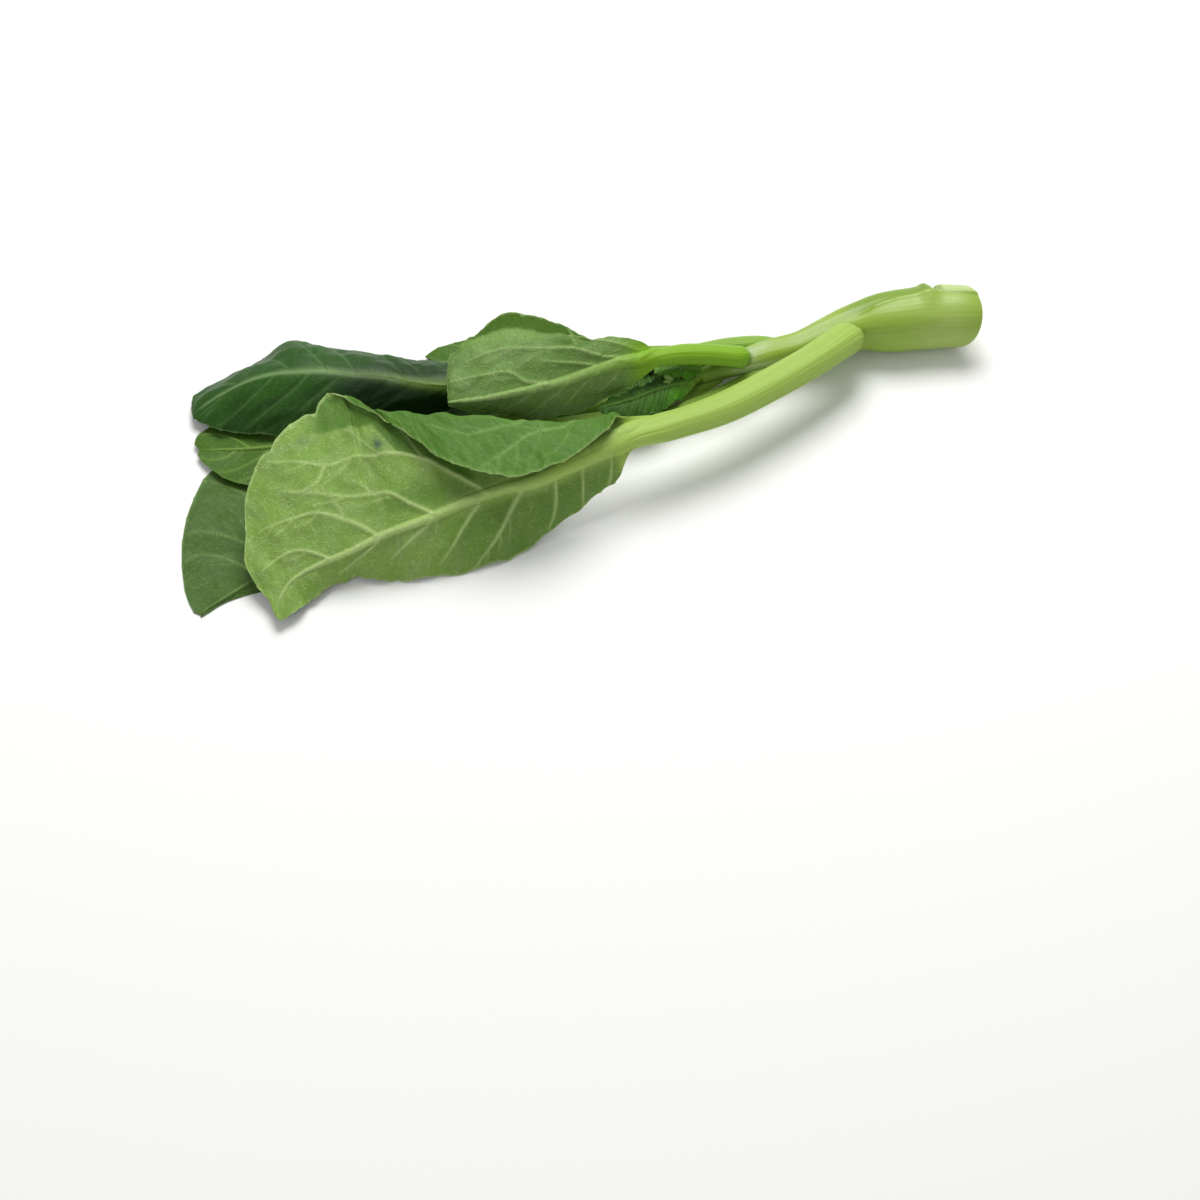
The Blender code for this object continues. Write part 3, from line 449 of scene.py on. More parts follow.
def folded(start, fold, end, lift, radius):
    """Bowed path from start to end by way of a fold: an arc that a sharp fold's line touches."""
    before, after = unit(fold - start - 4 * lift), unit(end - fold)
    half_turn = math.acos(float(np.clip(before @ after, -1, 1))) / 2
    if half_turn < 0.025:
        return np.concatenate([bowed(start, fold, lift), bowed(fold, end, 0)[1:]])
    sharp = float(eased((math.degrees(2 * half_turn) - 60) / 60))
    leg = 0.8 * min(np.linalg.norm(fold - start), np.linalg.norm(end - fold))
    radius = min(radius, leg / (math.tan(half_turn) * (1 - sharp) + 2 * sharp))
    out, over = unit(before - after), unit(before + after)
    middle = fold - out * radius * (1 + (1 / math.cos(half_turn) - 1) * (1 - sharp))
    angles = np.linspace(-half_turn, half_turn, 17)[:, None]
    arc = middle + radius * (out * np.cos(angles) + over * np.sin(angles))
    return np.concatenate([bowed(start, arc[0], lift), arc[1:-1], bowed(arc[-1], end, 0)])


def crossing(path, half_width, points, rib_points, full_blade):
    """Points from the rib's middle to the blade's edge, how far out, and how much a blade."""
    lengths = knots_of(path)
    half_width = min(half_width, lengths[-1])
    is_blade = float(eased((lengths[-1] - half_width) / full_blade))
    on_stalk = np.sin(np.linspace(0, math.radians(88), points + 1)) * lengths[-1]
    start = min(1.2 * half_width, 0.9 * lengths[-1])
    beyond = np.linspace(start, lengths[-1], points + 1 - rib_points)
    on_rib = start * np.sin(np.linspace(0, math.pi / 2, rib_points + 1))[:-1]
    out = on_stalk + (np.concatenate([on_rib, beyond]) - on_stalk) * is_blade
    return np.stack([np.interp(out, lengths, path[:, k]) for k in range(3)], 1), out, is_blade


def leaf_grid(rows, spacing, near_points, far_points, crease_radius=2.0, near_bow=0.10,
              far_bow=0.06, wave=0.6, wave_length=23.0, rib_points=9, full_blade=10.0):
    """The leaf's middle surface, crossed every spacing: points, way along, way out and so on."""
    rows = [(*row, None, None, None)[:5] for row in rows]
    is_bare = [row[2] is None for row in rows]
    middles = np.array([row[0] for row in rows], float)
    widths = np.array([row[1][0] for row in rows])[:, None]
    side = unit(np.cross((0, 0, 1), np.gradient(middles, axis=0))) * widths
    near = np.array([row[2] or middles[k] + side[k] for k, row in enumerate(rows)], float)
    far = np.array([row[4] or middles[k] - side[k] for k, row in enumerate(rows)], float)
    crease = np.array([row[3] or (middles[k] + far[k]) / 2 for k, row in enumerate(rows)], float)
    is_creased = any(row[3] for row in rows)
    knots = knots_of(middles, near, far)

    # The crossings are up to three times as far apart on the bare stalk, past its first few mm
    fine = np.linspace(0, knots[-1], 3000)
    steps = np.cumsum(1 / (1 + 2 * np.interp(fine, knots, is_bare) * eased((fine - 4) / 8)))
    at = np.linspace(steps[0], steps[-1], int(steps[-1] * fine[1] / spacing))
    at = np.interp(at, steps, fine)
    size = np.maximum(through(knots, [row[1] for row in rows], at), 0.4)
    middles, near, crease, far = (through(knots, line, at) for line in (middles, near, crease, far))
    rounded = np.sqrt(1 - (1 - np.clip(at / (1.15 * size[0, 0]), 0.04, 1)) ** 2)[:, None]
    size = size * rounded
    near, crease, far = (middles + (line - middles) * rounded for line in (near, crease, far))
    ahead = unit(np.gradient(middles, at, axis=0))
    bare = np.interp(at, knots, is_bare)[:, None, None]
    surface, across, blade = [], [], []
    for k in range(len(at)):
        bow = np.cross(ahead[k], near[k] - middles[k]) * near_bow
        near_path = bowed(middles[k], near[k], bow)
        bend = crease[k] if is_creased else far[k]
        bow = np.cross(bend - middles[k], ahead[k]) * far_bow
        far_path = (folded(middles[k], bend, far[k], bow, crease_radius) if is_creased
                    else bowed(middles[k], bend, bow))
        turn = 2 * math.pi * at[k] / wave_length
        halves = []
        for path, points, lag in ((near_path, near_points, 0.0), (far_path, far_points, 1.7)):
            half, out, is_blade = crossing(path, size[k, 0], points, rib_points, full_blade)
            half[:, 2] += wave * is_blade * math.sin(turn + lag) * (out / out[-1]) ** 3
            halves.append((half, out, [is_blade] * len(out)))
        near_half, far_half = halves
        surface.append(np.concatenate([near_half[0][::-1], far_half[0][1:]]))
        across.append(np.concatenate([-near_half[1][::-1], far_half[1][1:]]))
        blade.append(near_half[2] + far_half[2][1:])
    return np.array(surface), at, np.array(across), size, np.array(blade), bare, ahead


def branched(veins, seed):
    """Close points along the veins and the branches that fork off them, each with its width."""
    draw = np.random.default_rng(seed)
    spots, widths = [], []

    def lay(line, width_from, width_to):
        line = np.array(line, float)
        knots = knots_of(line)
        steps = np.arange(0, knots[-1], 0.3)
        spots.append(through(knots, line, steps) if len(line) > 2
                     else np.stack([np.interp(steps, knots, line[:, k]) for k in (0, 1)], 1))
        widths.append(np.linspace(width_from, width_to, len(steps)))
        return spots[-1]

    for vein in veins:
        length = knots_of(np.array(vein, float))[-1]
        wide = VEIN_FROM * (0.55 + 0.45 * min(length / 40, 1))
        path = lay(vein, wide, VEIN_TO)
        for share in (0.3, 0.5, 0.7, 0.86) if length > 28 else ():
            start = path[int(share * (len(path) - 1))]
            forward = path[min(int(share * len(path)) + 8, len(path) - 1)] - start
            forward = forward / max(np.hypot(*forward), 1e-6)
            hand = 1 if draw.random() < 0.5 else -1
            lean = hand * draw.uniform(0.55, 0.85)
            aside = np.array([forward[0] * math.cos(lean) - forward[1] * math.sin(lean),
                              forward[0] * math.sin(lean) + forward[1] * math.cos(lean)])
            reach = draw.uniform(0.2, 0.4) * length * (1.15 - share)
            lay([start + (aside * f + 0.5 * forward * f * f) * reach for f in (0, 0.5, 1)],
                0.32 * wide, TWIG_TO)
    return np.concatenate(spots), np.concatenate(widths)


def ruled_veins(first, last, count, lean, at, near_edge, far_edge):
    """Side veins at even steps along a rib, each swung forward as it nears the edge."""
    veins = []
    for number in range(count):
        start = first + (last - first) * (number + 0.2 * math.sin(2.4 * number)) / (count - 1)
        for hand, edge in ((-1, near_edge), (1, far_edge)):
            s = start + (0.35 * (last - first) / (count - 1) if hand < 0 else 0)
            stretch = lean * (1 - 0.45 * number / count)
            shares = np.array((0.03, 0.3, 0.6, 0.85, 1.0))
            ways = s + stretch * shares ** 1.3
            veins.append(np.stack([ways, hand * 0.95 * shares * np.interp(ways, at, edge)], 1))
    return veins


def leaf_piece(name, rows, veins, skins, spacing, seed, rib_up=True, pucker=0.5, ruffle=0.3,
               ruffle_length=9.0, spots_and_shade=(), nicks=(), groove=0.3, tooth=0.0, vein_show=1.0,
               painted_light_and_shade=None, **shape):
    """A leaf with its stalk: a closed sheet with raised veins below and sunk ones above.  Even
    veins are first, last, count and lean; a spot or patch of painted shade is its way along and
    out, strength and spread; a nick is its way along, side, spread and depth."""
    surface, at, across, size, blade, bare, ahead = leaf_grid(rows, spacing, **shape)
    near_edge, far_edge = -across[:, 0], across[:, -1]
    edge = np.where(across < 0, near_edge[:, None], far_edge[:, None])
    share = np.abs(across) / np.maximum(edge, 0.1)
    if isinstance(veins, tuple):
        veins = ruled_veins(*veins, at, near_edge, far_edge)
    vein_spots, vein_widths = branched(veins, seed)
    tree = kdtree.KDTree(len(vein_spots))
    for number, spot in enumerate(vein_spots):
        tree.insert((*spot, 0.0), number)
    tree.balance()
    way = np.broadcast_to(at[:, None], across.shape)
    found = [tree.find((a, b, 0.0))[1:] for a, b in zip(way.ravel(), across.ravel())]
    nearest = np.array([f[1] for f in found]).reshape(across.shape)
    thin = vein_widths[np.array([f[0] for f in found])].reshape(across.shape)

    # A vein that is thinner than the grid's steps is made wider and lower
    width = np.maximum(thin, 0.62 * np.maximum(spacing, np.abs(np.gradient(across, axis=1))))
    vein = np.exp(-(nearest / width) ** 2) * blade * (1 - bare[..., 0])
    vein = vein * np.minimum(thin / (0.7 * max(spacing, 0.6)), 1)

    # Waves of the margin, and the blade puffed up a little between its veins
    turn = 2 * math.pi * way / ruffle_length
    hand = np.where(across < 0, 0.0, 2.1)
    frill = (np.sin(turn + hand) + 0.6 * np.sin(1.83 * turn + 1.1 + hand)
             + 0.3 * np.sin(3.1 * turn + hand))
    surface[..., 2] += ruffle * 0.6 * frill * share ** 4 * blade
    surface[..., 2] = np.maximum(surface[..., 2], CLEARANCE)
    surface[..., 2] -= (CLEARANCE - SHEET) * eased((1.6 - surface[..., 2]) / 1.2)
    outward = unit(np.gradient(surface, axis=1))
    if tooth:
        surface = surface + outward * (np.sign(across) * tooth * share ** 6 * blade
                                       * (0.5 + 0.5 * np.abs(np.sin(1.9 * turn + hand))))[..., None]
    pull = sum((depth * bell(way - place, spread) * (across * side > 0)
                for place, side, spread, depth in nicks), 0 * across)
    glands = np.maximum(np.sin(2 * math.pi * way / GLAND_STEP + 2 * hand), 0) ** 12
    pull = pull - GLAND_DEPTH * glands
    surface = surface - outward * (np.sign(across) * pull * share ** 7 * blade)[..., None]
    bare_up = unit(np.cross(ahead, np.cross((0, 0, 1), ahead)))[:, None]
    normal = unit(np.cross(outward, unit(np.gradient(surface, axis=0))))
    normal = unit(normal * (1 - bare) + bare_up * bare)
    from_rib = np.maximum(np.abs(across) - size[:, :1], 0)
    between = (1 - bell(np.minimum(nearest, from_rib), PUFF_REACH)) * blade * (1 - share ** 8)
    draw = np.random.default_rng(seed + 50)
    crinkle = np.zeros(across.shape)
    for length in CRINKLES:
        lean, start = draw.uniform(0, math.pi), draw.uniform(0, 2 * math.pi)
        crinkle += np.sin(2 * math.pi * (way * math.cos(lean) + across * math.sin(lean)) / length
                          + start) * length / CRINKLES[0]
    puff = pucker * (between + 0.45 * crinkle * blade * np.minimum(share * 3, 1))
    surface = surface - normal * (puff if rib_up else -puff)[..., None]

    # Thickness: the rib and the veins stand out below, and are sunk a little above
    rib = np.sqrt(np.clip(1 - (across / size[:, :1]) ** 2, 0, 1)) * size[:, 1:]
    around = np.arcsin(np.clip(across / size[:, :1], -1, 1))
    ridges = 0.05 * np.cos(13 * around + 0.5) + 0.03 * np.cos(29 * around)
    rib = rib + ridges * (rib > 0.3) * np.minimum(size[:, 1:] / 4, 1)
    sheet = 0.25 + (SHEET - 0.25) * blade
    rib_side = (rib ** 4 + sheet ** 4) ** 0.25 + 0.7 * width * vein
    top_side = (((1 - blade) * rib) ** 4 + sheet ** 4) ** 0.25
    sink = np.minimum(groove * bell(across, size[:, :1] * 0.8) * np.minimum(size[:, :1], 1.5)
                      * blade + 0.16 * vein, rib_side + sheet - 0.25)
    top_side = top_side - sink
    above, below = (rib_side, top_side) if rib_up else (top_side, rib_side)
    upper = surface + normal * above[..., None]
    lower = surface - normal * below[..., None]
    lower[..., 2] = np.maximum(lower[..., 2], 0.0)
    upper[..., 2] = np.maximum(upper[..., 2], 0.1)

    lines, columns = upper.shape[:2]
    count = lines * columns
    index = np.arange(count).reshape(lines, columns)
    a, b, c, d = index[:-1, :-1], index[1:, :-1], index[1:, 1:], index[:-1, 1:]
    top = np.stack([a, d, c, b], -1).reshape(-1, 4)
    ring = np.concatenate([index[0, :], index[1:, -1], index[-1, -2::-1], index[-2:0:-1, 0]])
    after = np.roll(ring, -1)
    wall = np.stack([ring, ring + count, after + count, after], -1)
    faces = np.concatenate([top, top[:, ::-1] + count, wall])
    sides = (0, 1) if rib_up else (1, 0)
    kinds = np.repeat((*sides, 0), (len(top), len(top), len(wall)))
    points = np.concatenate([upper.reshape(-1, 3), lower.reshape(-1, 3)])
    piece = new_piece(name, points, faces.tolist(), skins, kinds)
    spots = np.stack([way, across], -1).reshape(-1, 2)
    add_uv(piece.data, np.concatenate([spots, spots]))

    # Where each look shows: pale rib and veins, juicy stalk, margin, spots, painted light and shade
    rib_line = bell(across, size[:, :1] * 0.9) * blade * (1 - bare[..., 0])
    blade_starts = at[np.argmax(bare[:, 0, 0] < 0.01)]
    stalk_end = eased((blade_starts + 30 - way) / 12)
    stalk = np.maximum(bare[..., 0], eased(1.25 - blade * 1.25) * stalk_end)
    stalk = np.maximum(stalk, bell(across, size[:, :1] * 1.1) * eased((size[:, :1] - 1.0) / 2.5))
    glands = 1.3 * glands * eased((share - 0.95) / 0.03)
    margin = np.maximum(eased((share - 0.975) / 0.02), glands) * blade
    spot_and_shade = sum((strength * bell(np.hypot(way - along, across - out), spread)
                for along, out, strength, spread in spots_and_shade), np.zeros(across.shape))
    values = {
        "painted_light_and_shade": painted_light_and_shade(way, across, share) * blade if painted_light_and_shade else 0 * across,
        "vein": np.clip(np.maximum(vein * vein_show, rib_line), 0, 1),
        "stalk": stalk, "margin": margin, "spot_and_shade": np.clip(spot_and_shade, 0, 1)}
    for label, value in values.items():
        add_value(piece.data, label, np.tile(np.broadcast_to(value, across.shape).ravel(), 2))
    return piece


def leaf_skin(name, blade, patches, vein, stalk, net, gloss=(0.42, 0.55), cell=2.9,
              spot_and_shade="#4c6146", wax=0.0, wax_colour="#9fae93", painted_light_and_shade="#2f6006"):
    """Skin of one side of a leaf: net of small veins, pale larger ones, streaked juicy stalk."""
    material, tree, shader = new_material(name)
    skin = add_node(tree, "ShaderNodeUVMap", {}, uv_map="skin")
    painted_light_share, veins, margin, spots_and_shade, stalks = (
        add_node(tree, "ShaderNodeAttribute", {}, attribute_name=label)
        for label in ("painted_light_and_shade", "vein", "margin", "spot_and_shade", "stalk"))

    # The net: the edges of wandering cells, and of smaller ones of 1.1 mm inside them
    wander = add_node(tree, "ShaderNodeTexNoise", {"Vector": skin, "Scale": 0.45, "Detail": 2.0})
    wander = add_node(tree, "ShaderNodeVectorMath",
                      {0: wander.outputs["Color"], 1: (0.5, 0.5, 0.5)}, operation="SUBTRACT")
    wander = add_node(tree, "ShaderNodeVectorMath", {0: wander, "Scale": 2.6}, operation="SCALE")
    bent = add_node(tree, "ShaderNodeVectorMath", {0: skin, 1: wander}, operation="ADD")
    nets = []
    for width, edge, strength in ((cell, 0.075, net), (1.1, 0.14, net * 0.35)):
        cells = add_node(tree, "ShaderNodeTexVoronoi",
                         {"Vector": bent, "Scale": 1 / width}, feature="DISTANCE_TO_EDGE")
        nets.append(add_node(tree, "ShaderNodeMapRange",
                             {"Value": cells, "From Max": edge, "To Min": strength, "To Max": 0.0},
                             interpolation_type="SMOOTHSTEP"))
    lines = add_node(tree, "ShaderNodeMath", dict(enumerate(nets)), operation="MAXIMUM")
    # The net and the wax are hidden where light or shade is painted
    dull = add_node(tree, "ShaderNodeMath", {0: 1.0, 1: painted_light_share}, operation="SUBTRACT")
    drawn = add_node(tree, "ShaderNodeMath", {0: lines, 1: dull}, operation="MULTIPLY")

    # Blotches, painted light and shade, pale veins and margin, wax, and the stalk's streaks
    blotch = add_node(tree, "ShaderNodeTexNoise", {"Vector": skin, "Scale": 0.07, "Detail": 5.0})
    mottle = add_node(tree, "ShaderNodeTexNoise", {"Vector": bent, "Scale": 0.5, "Detail": 3.0})
    blotch = add_node(tree, "ShaderNodeMath", {0: blotch, 1: mottle}, operation="ADD")
    blotch = add_node(tree, "ShaderNodeMapRange",
                      {"Value": blotch, "From Min": 0.75, "From Max": 1.25})
    pale = add_node(tree, "ShaderNodeMath", {0: margin, 1: 0.7}, operation="MULTIPLY")
    pale = add_node(tree, "ShaderNodeMath", {0: pale, 1: veins}, operation="MAXIMUM")
    layers = [(blotch, linear(patches)), (painted_light_share, linear(painted_light_and_shade)), (drawn, linear(vein)),
              (pale, linear(vein))]
    if wax:
        dusting = add_node(tree, "ShaderNodeTexNoise",
                           {"Vector": skin, "Scale": 0.11, "Detail": 6.0, "Roughness": 0.6})
        dusting = add_node(tree, "ShaderNodeMapRange",
                           {"Value": dusting, "From Min": 0.42, "From Max": 0.7, "To Max": wax})
        dusting = add_node(tree, "ShaderNodeMath", {0: dusting, 1: dull}, operation="MULTIPLY")
        layers.append((dusting, linear(wax_colour)))
    lengthwise = add_node(tree, "ShaderNodeMapping", {"Vector": skin, "Scale": (0.025, 1.3, 1.0)})
    streaks = add_node(tree, "ShaderNodeTexNoise",
                       {"Vector": lengthwise, "Scale": 1.0, "Detail": 4.0, "Roughness": 0.6})
    streaked = add_node(tree, "ShaderNodeMapRange", {"Value": streaks, "From Min": 0.3,
                                                     "From Max": 0.7, "To Min": 0.94,
                                                     "To Max": 1.05})
    juicy = add_node(tree, "ShaderNodeHueSaturation", {"Color": linear(stalk), "Value": streaked})
    colour = linear(blade)
    for share, over in layers + [(spots_and_shade, linear(spot_and_shade)), (stalks, juicy)]:
        colour = add_node(tree, "ShaderNodeMix", {0: share, 6: colour, 7: over}, data_type="RGBA")

    shine = add_node(tree, "ShaderNodeMapRange",
                     {"Value": stalks, "To Min": gloss[1], "To Max": gloss[0]})
    height = add_node(tree, "ShaderNodeMix", {0: stalks, 2: lines, 3: streaks})
    bumps = add_node(tree, "ShaderNodeBump",
                     {"Height": height, "Strength": 0.8, "Distance": 0.0004})
    set_inputs(tree, shader, {"Base Color": colour, "Roughness": shine, "Normal": bumps,
                              "Specular IOR Level": 0.18})
    return material


def leaf_1_painted_shade(way, across, share):
    """Deeper green painted shade: past the fold from the peak, by the rib below it, on the near
    half.
    """
    fold = np.interp(way, (165, 176, 186, 192, 212, 220), (6, 19, 25, 39, 42, 46))
    past = eased((across - fold) / 1.6 + 0.5) * eased((way - 160) / 8) * eased((224 - way) / 8)
    far = (0.75 * past + 0.5 * bell(way - 186, 13) * bell(across - 9, 6)
           + 0.4 * bell(way - 168, 12) * eased((13 - across) / 6))
    near = 0.5 * eased((-across - 2) / 4) * eased((192 - way) / 25)
    return np.where(across > 0, far, near)


# Underside: matt grey-green under a thin wax, raised pale veins in a fine net, painted shade
leaf_1_under = leaf_skin("pale leaf underside", "#6f9438", "#7ea046", "#aec67c", "#9dba56",
                         net=0.4, wax=0.18, painted_light_and_shade="#3f6a1c")
# Upper side: deeper, purer green with a slight shine, finer, sunken veins, and painted shade
leaf_1_top = leaf_skin("green leaf upper side", "#466f1e", "#507a28", "#6c9246", "#9dba56",
                       net=0.3, gloss=(0.42, 0.48), painted_light_and_shade="#4a7422")
leaf_1 = leaf_piece("leaf_1_skin", LEAF_1, LEAF_1_VEINS, [leaf_1_under, leaf_1_top],
                    near_points=52, far_points=80, crease_radius=1.8, spacing=0.6, seed=3,
                    spots_and_shade=[(193, 31, 0.9, 1.5), (193, 31, 0.35, 4.2), (223, 44, 0.5, 1.6)],
                    nicks=[(217.5, 1, 1.2, 2.0), (231, 1, 1.6, 1.8), (212, 1, 3.0, -1.2)],
                    painted_light_and_shade=leaf_1_painted_shade)
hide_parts("leaf_1")
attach(leaf_1, "root")


# The creased leaf behind it.
# A shorter leaf that also shows its underside, bent along its upper side so that a strip of blade,
# painted bright, stands up behind the crease.  Its thin stalk grows from the stem's middle.
LEAF_2 = [
    ((52.6, 96.6, 13.6), (4.0, 3.5)),
    ((50, 94.6, 16), (4.1, 3.6)),
    ((41, 93.5, 18.5), (4.1, 3.7)),
    ((30, 92, 20.5), (4.0, 3.6)),
    ((20.5, 89, 22.5), (3.7, 3.3)),
    ((12, 86.5, 24), (3.0, 2.9), (15, 83, 19), (14, 90, 26.5), (15, 92, 27)),
    ((4, 84, 24.5), (2.4, 2.5), (6, 79.5, 14), (3, 89.5, 31), (4, 91.3, 31.3)),
    ((-4.5, 80, 25), (2.0, 2.2), (-3, 77.5, 10), (-6.5, 88, 33), (-5.5, 89.8, 33)),
    ((-13, 76, 25), (1.8, 2.0), (-11.5, 74.5, 8), (-15.5, 88.5, 34), (-14.5, 96, 32)),
    ((-20.5, 73.5, 25), (1.6, 1.8), (-21, 73, 8), (-24.5, 87.5, 35), (-24, 101.5, 31)),
    ((-28, 71.5, 25), (1.4, 1.6), (-29.5, 73, 10), (-32, 87.5, 35), (-33.5, 101.5, 31)),
    ((-35, 70, 24.5), (1.2, 1.4), (-37.5, 72, 12), (-38.5, 87.5, 34), (-40.5, 96.5, 31)),
    ((-41, 69, 24), (1.0, 1.2), (-44, 70, 15), (-44, 86, 33), (-45, 91, 32)),
    ((-46, 68.5, 23.5), (0.9, 1.0), (-48, 69, 18), (-47.5, 82.5, 30.5), (-49, 86.5, 32)),
    ((-49.5, 68.5, 23), (0.8, 0.9), (-51, 68.5, 20), (-51, 78.5, 28), (-52.5, 83, 30.5)),
    ((-52, 68.5, 22.5), (0.7, 0.7), (-52.5, 68, 21), (-52.5, 75, 26), (-53.5, 77.5, 27.5)),
    ((-53, 69, 22), (0.5, 0.5), (-53, 68.3, 21.5), (-53.2, 71.5, 23.4), (-53.5, 72.5, 24)),
]
LEAF_2_VEINS = [
    [(38, 2), (46, 5), (56, 10), (68, 15)],
    [(46, 1), (56, 4), (67, 10), (83, 14), (95, 16), (111, 14)],
    [(80, 1), (88, 3), (93, 7), (101, 8), (109, 8), (118, 7)],
    [(60, 2), (70, 6), (80, 9)],
    [(48, -1), (54, -5), (60, -9)],
    [(60, -1), (67, -5), (74, -10)],
    [(72, -1), (80, -6), (87, -12)],
    [(86, -1), (93, -6), (99, -11)],
]
def leaf_2_painted_light_and_shade(way, across, share):
    """Painted light: pure green on the strip behind the crease; painted shade by the near edge."""
    strip = np.interp(way, (53, 62, 78, 95, 110, 118), (1, 0.82, 0.64, 0.7, 0.96, 1))
    far = np.maximum(eased((share - strip) / 0.1), 0.4 * bell(way - 71, 9))
    return (across > 0) * far + 0.35 * eased((-across - 4) / 6)


# Underside: matt, bluer than the large leaf's; painted light, pure green, no wax behind the crease
leaf_2_under = leaf_skin("grey-green leaf underside", "#668c40", "#719549", "#94b068", "#7fac2a",
                         net=0.45, wax=0.15, painted_light_and_shade="#3a5e00")
# Upper side: clear green with a slight shine
leaf_2_top = leaf_skin("bright leaf upper side", "#3f7016", "#4a7b1e", "#7ba04c", "#7fac2a",
                       net=0.25, gloss=(0.42, 0.45))
leaf_2 = leaf_piece("leaf_2_skin", LEAF_2, LEAF_2_VEINS, [leaf_2_under, leaf_2_top],
                    near_points=34, far_points=56, crease_radius=3.0, spacing=0.5, seed=5,
                    ruffle=0.4, pucker=0.35, painted_light_and_shade=leaf_2_painted_light_and_shade,
                    nicks=[(105, 1, 1.5, 0.8), (60, 1, 2.0, 1.0), (113, 1, 1.5, 0.8)])
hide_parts("leaf_2")
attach(leaf_2, "root")


# The dark leaf at the back.
# It lies with its glossy blue-green upper side up, like a tent over its rib, with the far half bent
# down to the table.  Its long stalk runs behind the others to the stem.
LEAF_3 = [
    ((67, 102, 10.6), (3.6, 3.2)),
    ((60, 104, 10.8), (3.8, 3.3)),
    ((48, 103.5, 11.0), (3.8, 3.3)),
    ((32.5, 99.7, 11.2), (3.7, 3.3)),
    ((14.5, 95.7, 12.0), (3.6, 3.2)),
    ((-5.5, 91.5, 13.6), (3.4, 3.1)),
    ((-25, 86.5, 16.0), (3.1, 2.9)),
    ((-39.5, 82, 18), (2.7, 2.6), (-39.5, 78, 14), (-41, 89.5, 17), (-41.5, 92.5, 15)),
    ((-54.5, 79, 19.5), (2.3, 2.3), (-57, 75.5, 8), (-55, 92.5, 16), (-55, 96.5, 11)),
    ((-65, 79.5, 20.5), (2.0, 2.1), (-70, 71, 6.5), (-66.5, 93.5, 15.5), (-68, 99.5, 7)),
    ((-76, 82, 21), (1.8, 1.9), (-83, 66.5, 5.5), (-78, 96, 15.5), (-80, 105, 2.5)),
    ((-86.5, 82.5, 21.5), (1.6, 1.8), (-94.5, 65, 5), (-89.5, 98, 15.5), (-92.5, 108.5, 0.4)),
    ((-97, 84, 21.5), (1.5, 1.6), (-105.5, 66, 5), (-101, 100.5, 15), (-105, 110.5, 0.4)),
    ((-107, 84.5, 20.5), (1.4, 1.5), (-115.5, 67.5, 5), (-111.5, 103, 14.5), (-116.5, 111.5, 0.4)),
    ((-116, 85, 18.5), (1.2, 1.3), (-123.5, 68.5, 5), (-121, 94.5, 12.6), (-125, 104.5, 0.4)),
    ((-124.5, 84.5, 15.5), (1.1, 1.1), (-130, 69.5, 5), (-128.5, 92, 11), (-132.5, 98.5, 0.4)),
    ((-131, 83.5, 12), (0.9, 0.9), (-135.5, 70.5, 4.5), (-135, 89.5, 8), (-138.5, 95, 0.6)),
    ((-136.5, 82, 9), (0.8, 0.8), (-139.5, 72.5, 4.5), (-140.5, 88, 5.5), (-143, 92, 1.2)),
    ((-140.5, 80.5, 6.5), (0.7, 0.7), (-142.5, 74.5, 4), (-143.7, 86, 3.6), (-146, 89.0, 1.8)),
    ((-143.5, 78.5, 5), (0.5, 0.5), (-144, 76, 4), (-145.3, 82.5, 3.4), (-146.3, 84.5, 2.6)),
    ((-145, 77, 4), (0.5, 0.5), (-145, 76, 3.7), (-145.8, 79.5, 3.3), (-146.2, 80.5, 3.1)),
]
def leaf_3_wax_and_sheen(way, across, share):
    """A greyer band of wax and painted sheen where the far half bends down beside the rib."""
    return 0.3 * bell(across - 0.34 * share * 20 - 3, 3.5) * (across > 0)


# Underside: matt blue-green
leaf_3_under = leaf_skin("blue-green leaf underside", "#55783e", "#5f8248", "#88a570", "#82a83e",
                         net=0.4)
# Upper side: very dark green, a little glossy, under a thin blue wax, with painted shadow
leaf_3_top = leaf_skin("waxy blue-green upper side", "#1b4409", "#26520f", "#6d8b58", "#82a83e",
                       net=0.12, gloss=(0.40, 0.42), wax=0.07, wax_colour="#41652c",
                       painted_light_and_shade="#3c5c30", spot_and_shade="#0f2607")
leaf_3 = leaf_piece("leaf_3_skin", LEAF_3, (118, 205, 7, 26), [leaf_3_under, leaf_3_top],
                    rib_up=False, near_points=40, far_points=50, crease_radius=6.0, spacing=0.6,
                    seed=7, groove=0.35, pucker=0.4, vein_show=0.3, painted_light_and_shade=leaf_3_wax_and_sheen,
                    # The marks here are painted shadow, nearly black, over the near half
                    spots_and_shade=[(142, -7, 0.95, 18), (118, -4, 0.9, 14), (161, -8, 0.8, 10)])
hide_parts("leaf_3")
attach(leaf_3, "root")


